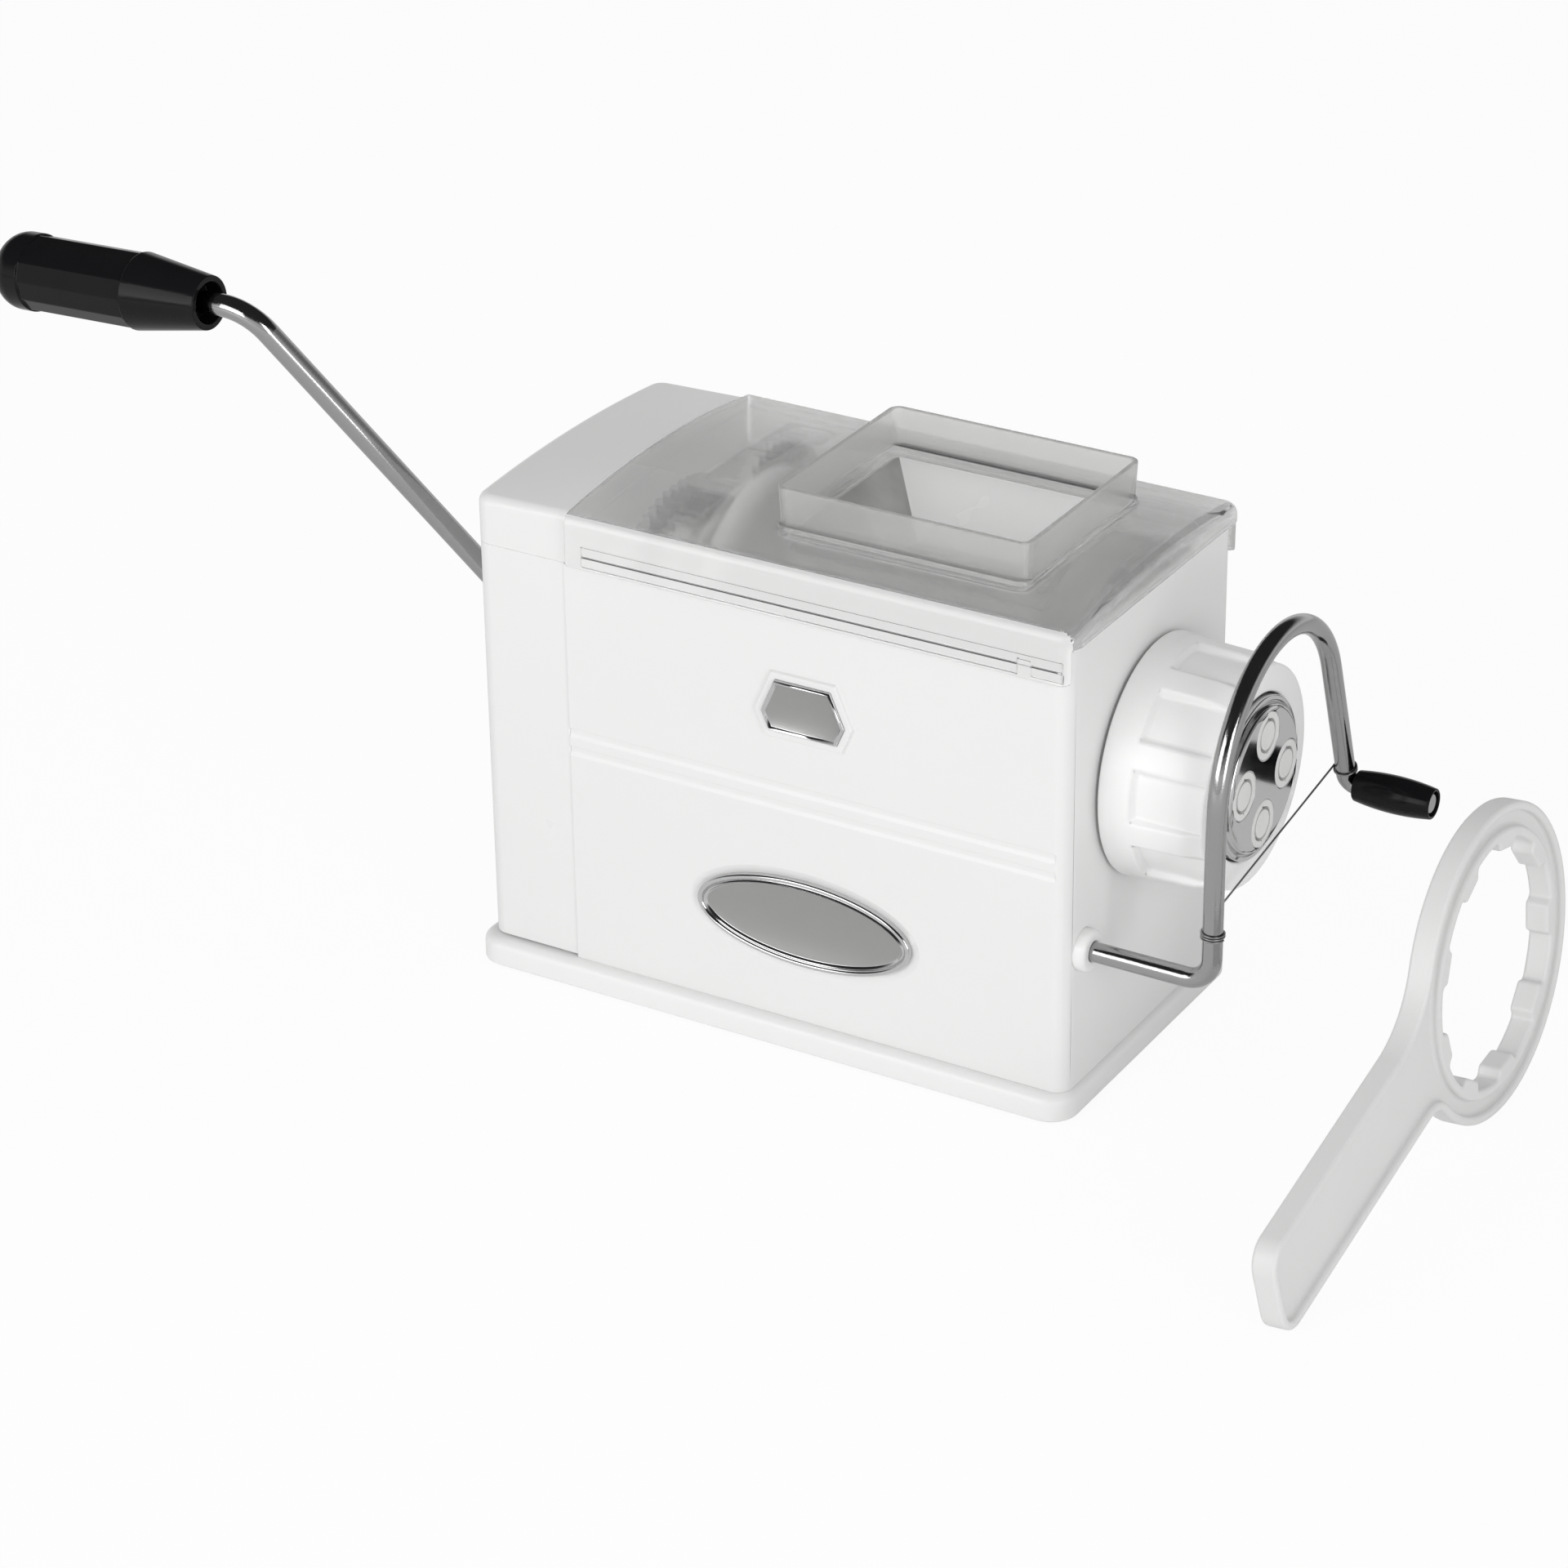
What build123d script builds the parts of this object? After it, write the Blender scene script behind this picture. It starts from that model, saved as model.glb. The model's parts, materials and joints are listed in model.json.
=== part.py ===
"""Hand-cranked pasta machine with a ring spanner.

Lengths are millimetres.  X runs along the machine, from the crank (-X) to the
die (+X).  The long front face looks along -Y and Z is up.  The origin is under
the middle foot, on the surface that the machine stands on.
"""
from build123d import *
import math
import os

os.makedirs("parts", exist_ok=True)

# %% Clearances that many pieces share
overrun = 1.0  # how far a cut runs past the face that it opens
running = 0.05  # radial clearance of a shaft that turns in its bearing
seat = 0.03  # clearance of a fixed piece in its seat
gap = 0.3  # space between moving pieces that don't bear on each other

# %% Casing
body_left = -115.5
body_right = 111.1
body_width = 116.8
body_corner = 6.0
body_wall = 2.8
wall_top = 160.0
end_wall_top = 172.4

tray_ledge_left = 4.2
tray_ledge_right = 2.2
tray_ledge = 4.6
tray_top = 10.0
tray_standoff = 0.8
tray_corner = 10.0
tray_edge = 3.3
tray_floor = 4.2
tray_wall = 7.2

foot_radius = 8.0
foot_height = 3.0
foot_inset_x = 14.3
foot_inset_y = 15.0

seam_x = -79.5
cover_inset = 0.5
cover_lift = 0.9
bulkhead = 2.5

post_radius = 4.6
post_height = 22.0
post_x_left = -86.0
post_x_right = 86.0
screw_radius = 1.7
screw_head_radius = 3.4
screw_head_height = 2.0
screw_length = 16.0

groove_tops = (98.8, 92.0)
groove_height = 3.4
groove_depth = 0.7
groove_floor_share = 0.6
groove_right = 106.6

# %% Trim on the front face
oval_x = 11.9
oval_z = 47.8
oval_half_length = 41.3
oval_half_height = 16.2
oval_margin = 3.2
oval_recess = 1.0
oval_proud = 1.4
oval_rim = 3.4
oval_step = 0.6

badge_x = 13.3
badge_bottom = 118.6
badge_middle = 125.4
badge_top = 137.4
badge_half_bottom = 12.8
badge_half_middle = 15.8
badge_half_top = 10.5
badge_border = 2.8
badge_mount_proud = 1.2
badge_recess = 0.8
badge_proud = 1.4
badge_rim = 1.6
badge_step = 0.5

# %% Cap and lid
cap_right = -78.0
cap_edge_z = 177.9
cap_crown_z = 183.0
cap_edge_left_z = 177.0
cap_crown_left_z = 179.7
cap_edge_radius = 3.6
cap_wall = 2.4

lid_left = -77.6
lid_right = 113.2
lid_overhang = 2.0
lid_bottom = 160.2
lid_edge_z = 178.6
lid_crown_z = 183.3
lid_wall = 1.9
lid_edge_radius = 4.4
lid_corner = 6.0
lid_ledge = 2.0
lid_ledge_reach = 4.4
lid_skirt_corner = 5.0
band_left = -71.0
band_right = 109.0
band_bottom = 161.4
band_middle = 164.6
band_top = 168.4
band_rib = 0.6
band_depth = 0.5
catch_x = 95.3
catch_width = 5.0
catch_height = 5.2

hopper_x = 38.5
hopper_length_top = 94.2
hopper_length_base = 92.4
hopper_side = 20.7
hopper_flare = 0.4
hopper_corner = 4.0
hopper_wall = 1.9
hopper_rim_z = 196.0
plinth_margin = 1.2
plinth_top = 182.6
hopper_base_z = 176.5
funnel_top_z = 178.0
funnel_bottom_z = 161.6
funnel_length = 45.0
funnel_width = 23.0
funnel_wall = 1.8

# %% Auger line
axis_z = 111.5
barrel_inner = 20.5
barrel_outer = 24.5
snout_radius = 33.5
snout_end = 140.8
snout_mouth = 28.5
snout_mouth_depth = 12.0
throat_left = 5.0
throat_right = 80.0
throat_half_width = 12.0

auger_core = 7.0
auger_tip = 19.9
auger_pitch = 26.0
auger_turns = 5.5
auger_root_thickness = 5.0
auger_tip_thickness = 2.4
auger_sink = 1.0
auger_left = -60.5
auger_right = 126.0

drive_radius = 5.0
drive_right = -46.0
hub_radius = 7.5
hub_proud = 2.7
hub_length = 23.0
hub_bore_depth = 15.0
hub_floor = 1.0
bush_wall = 3.0
bush_flange = 2.5
bush_flange_thickness = 1.4

# %% Feed chamber
hood_room = 7.6
hood_centre_z = 130.5
hood_wall = 2.5
hood_left = -37.5
hood_floor = 2.5
hood_window_margin = 1.6
hood_window_half = 30.0
deck_z = 157.0
deck_thickness = 2.0
gear_slot = 1.2
pedestal_half_width = 30.0

roller_share = 0.505
roller_shaft = 4.0
roller_flutes = 8
flute_radius = 3.2
flute_sink = 1.1
roller_shaft_left = -78.6
bearing_boss = 8.0
bearing_boss_length = 5.0

# %% Gears
gear_room = 4.6
pressure_angle = 20.0
backlash = 0.26
gear_width = 8.0
crank_teeth = 29
roller_teeth = 33
plane_a = -57.5
plane_b = -48.0
dedendum_share = 1.25
web_depth = 2.4
web_rim = 4.5
gear_hub = 3.5

# %% Die and ring nut
die_flange = 32.5
die_flange_back = 141.1
die_flange_front = 144.5
die_step_radius = 28.0
die_step_front = 150.6
die_boss_radius = 25.5
die_boss_front = 152.7
die_groove = 0.8
insert_radius = 8.2
insert_offset = 15.7
insert_count = 4
insert_turn = 86.5
insert_back = 143.5
slot_inner = 4.9
slot_outer = 5.9
slot_depth = 5.0
feed_hole = 1.5
feed_hole_count = 3
key_notch = 1.1

nut_standoff = 1.3
nut_front = 148.8
nut_rim_radius = 41.4
nut_rim_width = 4.0
nut_radius = 40.9
nut_shoulder_x = 141.0
nut_shoulder_radius = 40.2
nut_front_radius = 38.0
nut_lip_radius = 28.6
nut_lip = 4.0
nut_rounding = 1.2
notch_count = 9
notch_turn = 94.0
notch_half_angle = 12.0
notch_back = 123.5
notch_floor = 37.5
notch_flare = 2.0

# %% Crank
crank_lean = 25.0
rod_radius = 4.0
arm_bend_x = -143.5
elbow_x = -208.9
elbow_reach = 122.9
arm_bend = 14.0
elbow_bend = 17.0
pin_lean = 3.2
grip_start = 16.0
grip_length = 88.6
grip_mouth = 9.5
grip_radius = 13.75
grip_taper = 29.0
grip_end_radius = 9.0
grip_mouth_bore = 7.4
grip_mouth_depth = 7.0
grip_pads = 12
pad_start = 14.0
pad_depth = 0.8
pin_room = 6.0

# %% Cutter
pivot_inset = 11.6
pivot_z = 60.1
cutter_rod = 3.4
pivot_boss_radius = 7.3
pivot_boss_proud = 4.0
pivot_boss_flange = 8.6
frame_x = 157.7
heel_bend = 9.0
leg_top = 118.3
first_arc = 50.2
first_turn = 48.5
second_arc = 41.8
whole_turn = 161.2
toe_z = 87.0
toe_bend = 4.5
wire_radius = 0.35
wire_z = 79.2
wire_far_z = 94.4
wire_wraps = 2
wire_far_wraps = 1
wire_wrap_pitch = 0.9

knob_left = 161.3
knob_length = 28.1
knob_mouth = 4.7
knob_mouth_depth = 3.0
knob_end_radius = 5.3
knob_middle_radius = 6.5
knob_recess = 4.3
knob_recess_depth = 2.2
rivet_radius = 3.6
rivet_height = 1.6

# %% Ring spanner
spanner_x = 229.8
spanner_y = 19.6
spanner_heading = -1.4
spanner_tilt = 4.7
spanner_radius = 54.0
spanner_thickness = 8.4
spanner_rim = 3.0
spanner_recess = 3.0
spanner_collar = 3.4
spanner_bore = 42.4
tooth_tip = 38.8
tooth_count = 9
tooth_turn = -3.0
tooth_half_angle = 9.0
tooth_draft = 1.0
handle_lean = 13.4
handle_width = 35.0
handle_reach = 165.8
handle_drop = 0.3
handle_corner = 9.0
handle_neck_top = 34.0
handle_neck_bottom = 12.0


def across(x):
    """A sketch plane square to the auger line, with local x = Y and local y = Z."""
    return Plane.YZ.offset(x)


def arched(half_width, bottom, edge, crown):
    """The casing's cross-section: straight sides under a shallow arch."""
    with BuildSketch(Plane.XY) as section:
        with BuildLine():
            Line((-half_width, bottom), (-half_width, edge))
            ThreePointArc((-half_width, edge), (0, crown), (half_width, edge))
            Line((half_width, edge), (half_width, bottom))
            Line((half_width, bottom), (-half_width, bottom))
        make_face()
    return section.sketch


def closed(*points):
    """The flat face inside a closed outline of straight sides."""
    with BuildSketch(Plane.XY) as shape:
        with BuildLine():
            Polyline(*points, close=True)
        make_face()
    return shape.sketch


def finish(builder, name):
    """Label a finished piece and write it."""
    builder.part.label = name
    export_step(builder.part, f"parts/{name}.step")


auger_axis = Axis((0, 0, axis_z), (1, 0, 0))
half_body = body_width / 2
half_cavity = half_body - body_wall
half_cover = half_body - cover_inset
half_lid = half_body + lid_overhang
hub_left = body_left - hub_proud
drive_left = hub_left + hub_bore_depth + hub_floor
pivot_y = pivot_inset - half_body

# the two roller gears side by side fill the casing but for the room at their sides
gear_module = (half_cavity - gear_room) / (roller_teeth + 1)
roller_y = gear_module * roller_teeth / 2
roller_drop = gear_module * (crank_teeth + roller_teeth) / 2
roller_radius = roller_y * roller_share
roller_z = axis_z + math.sqrt(roller_drop**2 - roller_y**2)
hood_radius = half_cavity - hood_room

tray_left = body_left - tray_ledge_left
tray_right = body_right + tray_ledge_right
tray_length = tray_right - tray_left
tray_width = body_width + 2 * tray_ledge
tray_middle = (tray_left + tray_right) / 2
tray_shape = Location((tray_middle, 0))
post_y = half_cavity - post_radius + seat
screw_spots = [(x, y) for x in (post_x_left, post_x_right) for y in (-post_y, post_y)]
foot_ends = (tray_left + foot_inset_x, tray_right - foot_inset_x)
foot_y = tray_width / 2 - foot_inset_y
foot_spots = [(x, y) for x in foot_ends for y in (-foot_y, foot_y)] + [(0, 0)]
tray_deck = tray_standoff + tray_floor

# %% Base tray: a dish that the casing stands in
with BuildPart() as base_tray:
    with BuildSketch(Plane.XY.offset(tray_standoff)):
        with Locations(tray_shape):
            RectangleRounded(tray_length, tray_width, tray_corner)
    extrude(amount=tray_top - tray_standoff)
    fillet(base_tray.faces().sort_by(Axis.Z)[-1].edges(), tray_edge)
    with BuildSketch(Plane.XY.offset(tray_deck)):
        with Locations(tray_shape):
            RectangleRounded(
                tray_length - 2 * tray_wall, tray_width - 2 * tray_wall, body_corner
            )
    extrude(amount=tray_top, mode=Mode.SUBTRACT)
    with BuildSketch(Plane.XY.offset(tray_standoff)):
        with Locations(*foot_spots):
            Circle(foot_radius + seat)
    extrude(amount=foot_height - tray_standoff, mode=Mode.SUBTRACT)
    with BuildSketch(Plane.XY.offset(tray_standoff)):
        with Locations(*screw_spots):
            Circle(screw_radius + seat)
    extrude(amount=tray_top, mode=Mode.SUBTRACT)
    with BuildSketch(Plane.XY.offset(tray_standoff)):
        with Locations(*screw_spots):
            Circle(screw_head_radius + seat)
    extrude(amount=screw_head_height, mode=Mode.SUBTRACT)
finish(base_tray, "base_tray")

# %% Rubber feet, pressed into pockets under the tray
foot_edge = foot_height / 4
with BuildPart() as rubber_feet:
    with BuildSketch():
        with Locations(*foot_spots):
            Circle(foot_radius)
    extrude(amount=foot_height)
    chamfer(rubber_feet.faces().filter_by(Axis.Z).group_by(Axis.Z)[0].edges(), foot_edge)
finish(rubber_feet, "rubber_feet")

# %% Base screws
with BuildPart() as base_screws:
    with BuildSketch(Plane.XY.offset(tray_standoff)):
        with Locations(*screw_spots):
            Circle(screw_head_radius)
    extrude(amount=screw_head_height)
    with BuildSketch(Plane.XY.offset(tray_standoff)):
        with Locations(*screw_spots):
            Circle(screw_radius)
    extrude(amount=screw_length)
finish(base_screws, "base_screws")


def screw_post(x, y):
    """A post on the tray's deck with the hole that a base screw bites into."""
    with BuildSketch(Plane.XY.offset(tray_deck)) as post:
        with Locations((x, y)):
            Circle(post_radius)
    extrude(post.sketch, amount=post_height)
    with BuildSketch(Plane.XY.offset(tray_deck)) as bore:
        with Locations((x, y)):
            Circle(screw_radius + seat)
    extrude(bore.sketch, amount=screw_length, mode=Mode.SUBTRACT)


badge_shape = closed(
    (badge_x - badge_half_bottom, badge_bottom),
    (badge_x - badge_half_middle, badge_middle),
    (badge_x - badge_half_top, badge_top),
    (badge_x + badge_half_top, badge_top),
    (badge_x + badge_half_middle, badge_middle),
    (badge_x + badge_half_bottom, badge_bottom),
)

# %% Housing: front, back, end wall and bulkhead in one moulding
body_length = body_right - seam_x
body_middle = (body_right + seam_x) / 2
pivot_boss_bore = cutter_rod + running
with BuildPart() as housing:
    with BuildSketch(Plane.XY.offset(tray_top)):
        with Locations((body_middle, 0)):
            Rectangle(body_length, body_width)
    extrude(amount=wall_top - tray_top)
    with BuildSketch(Plane.XY.offset(wall_top)):
        with Locations((body_right - body_wall / 2, 0)):
            Rectangle(body_wall, body_width)
    extrude(amount=end_wall_top - wall_top)
    fillet(housing.edges().filter_by(Axis.Z).group_by(Axis.X)[-1], body_corner)
    with BuildSketch(Plane.XY.offset(tray_top)):
        with Locations((body_middle + (bulkhead - body_wall) / 2, 0)):
            Rectangle(body_length - bulkhead - body_wall, 2 * half_cavity)
    extrude(amount=end_wall_top, mode=Mode.SUBTRACT)
    for y in (-post_y, post_y):
        screw_post(post_x_right, y)
    # holes for the barrel, the drive shaft and the cutter's pivot
    with BuildSketch(across(body_right - body_wall)):
        with Locations((0, axis_z)):
            Circle(barrel_outer + seat)
        with Locations((pivot_y, pivot_z)):
            Circle(pivot_boss_radius + seat)
    extrude(amount=body_wall, mode=Mode.SUBTRACT)
    with BuildSketch(across(seam_x)):
        with Locations((0, axis_z)):
            Circle(drive_radius + running)
    extrude(amount=bulkhead, mode=Mode.SUBTRACT)
    # bearing bosses and bores for the two feed rollers
    with BuildSketch(across(body_right - body_wall - bearing_boss_length)):
        with Locations((-roller_y, roller_z), (roller_y, roller_z)):
            Circle(bearing_boss)
            Circle(roller_shaft + running, mode=Mode.SUBTRACT)
    extrude(amount=bearing_boss_length)
    with BuildSketch(across(seam_x)):
        with Locations((-roller_y, roller_z), (roller_y, roller_z)):
            Circle(roller_shaft + running)
    extrude(amount=bulkhead, mode=Mode.SUBTRACT)
    # two long grooves pressed into the front face
    groove_lip = groove_height * groove_floor_share
    for groove_top in groove_tops:
        with BuildSketch(across(seam_x)):
            with BuildLine():
                Polyline(
                    (-half_body - overrun, groove_top),
                    (-half_body + groove_depth, groove_top),
                    (-half_body + groove_depth, groove_top - groove_lip),
                    (-half_body, groove_top - groove_height),
                    (-half_body - overrun, groove_top - groove_height),
                    close=True,
                )
            make_face()
        extrude(amount=groove_right - seam_x, mode=Mode.SUBTRACT)
    # dished seat of the oval plate
    with BuildSketch(Plane.XZ.offset(half_body)):
        with Locations((oval_x, oval_z)):
            Ellipse(oval_half_length + oval_margin, oval_half_height + oval_margin)
    with BuildSketch(Plane.XZ.offset(half_body - oval_recess)):
        with Locations((oval_x, oval_z)):
            Ellipse(oval_half_length + seat, oval_half_height + seat)
    loft(mode=Mode.SUBTRACT)
    # raised frame round the badge
    with BuildSketch(Plane.XZ.offset(half_body)):
        add(badge_shape)
        offset(amount=badge_border, kind=Kind.INTERSECTION)
    extrude(amount=badge_mount_proud, taper=pressure_angle)
    with BuildSketch(Plane.XZ.offset(half_body + badge_mount_proud - badge_recess)):
        add(badge_shape)
        offset(amount=seat, kind=Kind.INTERSECTION)
    extrude(amount=badge_mount_proud, mode=Mode.SUBTRACT)
finish(housing, "housing")

# %% Bare oval plate with a double rim
with BuildPart() as oval_plate:
    with BuildSketch(Plane.XZ.offset(half_body - oval_recess)):
        with Locations((oval_x, oval_z)):
            Ellipse(oval_half_length, oval_half_height)
    extrude(amount=oval_recess + oval_proud)
    chamfer(oval_plate.faces().sort_by(Axis.Y)[0].edges(), oval_step)
    with BuildSketch(Plane.XZ.offset(half_body + oval_proud)):
        with Locations((oval_x, oval_z)):
            Ellipse(oval_half_length - oval_rim, oval_half_height - oval_rim)
    extrude(amount=-oval_step, mode=Mode.SUBTRACT)
finish(oval_plate, "oval_plate")

# %% Bare badge plate
badge_back = half_body + badge_mount_proud - badge_recess
with BuildPart() as front_badge:
    with BuildSketch(Plane.XZ.offset(badge_back)):
        add(badge_shape)
    extrude(amount=badge_recess + badge_proud)
    chamfer(front_badge.faces().sort_by(Axis.Y)[0].edges(), badge_step)
    with BuildSketch(Plane.XZ.offset(badge_back + badge_recess + badge_proud)):
        add(badge_shape)
        offset(amount=-badge_rim, kind=Kind.INTERSECTION)
    extrude(amount=-badge_step, mode=Mode.SUBTRACT)
finish(front_badge, "front_badge")

# %% Gear cover: the crank end of the casing
cover_length = seam_x - body_left
cover_middle = (seam_x + body_left) / 2
with BuildPart() as gear_cover:
    with BuildSketch(Plane.XY.offset(tray_top + cover_lift)):
        with Locations((cover_middle, 0)):
            Rectangle(cover_length, 2 * half_cover)
    extrude(amount=wall_top - tray_top - cover_lift)
    fillet(gear_cover.edges().filter_by(Axis.Z).group_by(Axis.X)[0], body_corner)
    with BuildSketch(Plane.XY.offset(tray_top)):
        with Locations((cover_middle + body_wall / 2, 0)):
            Rectangle(cover_length - body_wall, 2 * (half_cover - body_wall))
    extrude(amount=wall_top, mode=Mode.SUBTRACT)
    for y in (-post_y, post_y):
        screw_post(post_x_left, y)
    with BuildSketch(across(body_left)):
        with Locations((0, axis_z)):
            Circle(hub_radius + bush_wall + seat)
    extrude(amount=body_wall, mode=Mode.SUBTRACT)
finish(gear_cover, "gear_cover")

# %% Top cap over the gear cover
with BuildPart() as top_cap:
    with BuildSketch(across(body_left)):
        add(arched(half_cover, wall_top, cap_edge_left_z, cap_crown_left_z))
    with BuildSketch(across(cap_right)):
        add(arched(half_cover, wall_top, cap_edge_z, cap_crown_z))
    loft()
    fillet(top_cap.edges().filter_by(Axis.Z).group_by(Axis.X)[0], body_corner)
    cap_roof = top_cap.faces().sort_by(Axis.Z)[-1]
    fillet(
        cap_roof.edges().filter_by(lambda edge: edge.center().X < cap_right - gap),
        cap_edge_radius,
    )
    with BuildSketch(across(body_left + cap_wall)):
        add(
            arched(
                half_cover - cap_wall,
                wall_top - overrun,
                cap_edge_left_z - cap_wall,
                cap_crown_left_z - cap_wall,
            )
        )
    with BuildSketch(across(cap_right - cap_wall)):
        add(
            arched(
                half_cover - cap_wall,
                wall_top - overrun,
                cap_edge_z - cap_wall,
                cap_crown_z - cap_wall,
            )
        )
    loft(mode=Mode.SUBTRACT)
finish(top_cap, "top_cap")

# %% Lid: clear cover, hopper and funnel in one moulding
hopper_width_base = 2 * (half_lid - hopper_side - hopper_flare)
hopper_width_top = 2 * (half_lid - hopper_side)
hopper_inner_length = hopper_length_base - 2 * hopper_wall
hopper_inner_width = hopper_width_base - 2 * hopper_wall
with BuildPart() as lid:
    with BuildSketch(across(lid_left)):
        add(arched(half_lid, lid_bottom, lid_edge_z, lid_crown_z))
    extrude(amount=lid_right - lid_left)
    fillet(lid.edges().filter_by(Axis.Z).group_by(Axis.X)[-1], lid_corner)
    fillet(lid.edges().filter_by(Axis.X).group_by(Axis.Z)[-1], lid_edge_radius)
    with BuildSketch(across(lid_left)):
        add(
            arched(
                half_lid - lid_wall,
                lid_bottom + lid_ledge,
                lid_edge_z - lid_wall,
                lid_crown_z - lid_wall,
            )
        )
    extrude(amount=lid_right - lid_left - lid_wall, mode=Mode.SUBTRACT)
    # the ledge that rests on the casing's walls, and the room for the end wall
    ledge_right = body_right - body_wall - lid_ledge
    with BuildSketch(Plane.XY.offset(lid_bottom)):
        with Locations(((lid_left + ledge_right) / 2, 0)):
            Rectangle(ledge_right - lid_left, 2 * (half_lid - lid_ledge_reach))
    extrude(amount=lid_ledge, mode=Mode.SUBTRACT)
    with BuildSketch(Plane.XY.offset(lid_bottom)):
        with Locations((ledge_right + half_lid, 0)):
            Rectangle(2 * half_lid, 2 * (half_lid - lid_wall))
    extrude(amount=end_wall_top + gap - lid_bottom, mode=Mode.SUBTRACT)
    # rounded lower corners of the two skirts
    with BuildSketch(Plane.XZ):
        with Locations((lid_right, lid_bottom)):
            Rectangle(lid_skirt_corner * 2, lid_skirt_corner * 2)
        with Locations((lid_right - lid_skirt_corner, lid_bottom + lid_skirt_corner)):
            Circle(lid_skirt_corner, mode=Mode.SUBTRACT)
    extrude(amount=half_lid + overrun, both=True, mode=Mode.SUBTRACT)
    # shallow band along both skirts, with a rib at mid height
    for side in (Plane.XZ.offset(half_lid), Plane.XZ.offset(band_depth - half_lid)):
        with BuildSketch(side):
            with BuildLine():
                Polyline(
                    (band_left, band_bottom),
                    (band_left, band_middle),
                    (band_right, band_middle),
                    (band_right, band_bottom),
                    close=True,
                )
            make_face()
            with BuildLine():
                Polyline(
                    (band_left, band_middle + band_rib),
                    (band_left, band_top),
                    (band_right, band_top),
                    (band_right, band_middle + band_rib),
                    close=True,
                )
            make_face()
        extrude(amount=-band_depth, mode=Mode.SUBTRACT)
    with BuildSketch(Plane.XZ.offset(half_lid - band_depth)):
        with Locations((catch_x, band_bottom + catch_height / 2)):
            Rectangle(catch_width, catch_height)
    extrude(amount=band_depth)
    # hopper collar, flaring slightly to its rim
    with BuildSketch(Plane.XY.offset(hopper_base_z)):
        with Locations((hopper_x, 0)):
            RectangleRounded(hopper_length_base, hopper_width_base, hopper_corner)
    with BuildSketch(Plane.XY.offset(hopper_rim_z)):
        with Locations((hopper_x, 0)):
            RectangleRounded(hopper_length_top, hopper_width_top, hopper_corner)
    loft()
    # low plinth that the collar stands on
    with BuildSketch(Plane.XY.offset(funnel_top_z)):
        with Locations((hopper_x, 0)):
            RectangleRounded(
                hopper_length_base + 2 * plinth_margin,
                hopper_width_base + 2 * plinth_margin,
                hopper_corner + plinth_margin,
            )
    extrude(amount=plinth_top - funnel_top_z)
    # funnel under the collar
    with BuildSketch(Plane.XY.offset(funnel_bottom_z)):
        with Locations((hopper_x, 0)):
            RectangleRounded(
                funnel_length + 2 * funnel_wall, funnel_width + 2 * funnel_wall, hopper_corner
            )
    with BuildSketch(Plane.XY.offset(funnel_top_z)):
        with Locations((hopper_x, 0)):
            RectangleRounded(hopper_length_base, hopper_width_base, hopper_corner)
    loft()
    with BuildSketch(Plane.XY.offset(funnel_top_z)):
        with Locations((hopper_x, 0)):
            RectangleRounded(
                hopper_inner_length, hopper_inner_width, hopper_corner - hopper_wall
            )
    with BuildSketch(Plane.XY.offset(hopper_rim_z)):
        with Locations((hopper_x, 0)):
            RectangleRounded(
                hopper_length_top - 2 * hopper_wall,
                hopper_width_top - 2 * hopper_wall,
                hopper_corner - hopper_wall,
            )
    loft(mode=Mode.SUBTRACT)
    with BuildSketch(Plane.XY.offset(funnel_bottom_z)):
        with Locations((hopper_x, 0)):
            RectangleRounded(funnel_length, funnel_width, hopper_corner - hopper_wall)
    with BuildSketch(Plane.XY.offset(funnel_top_z)):
        with Locations((hopper_x, 0)):
            RectangleRounded(
                hopper_inner_length, hopper_inner_width, hopper_corner - hopper_wall
            )
    loft(mode=Mode.SUBTRACT)
finish(lid, "lid")

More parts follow.
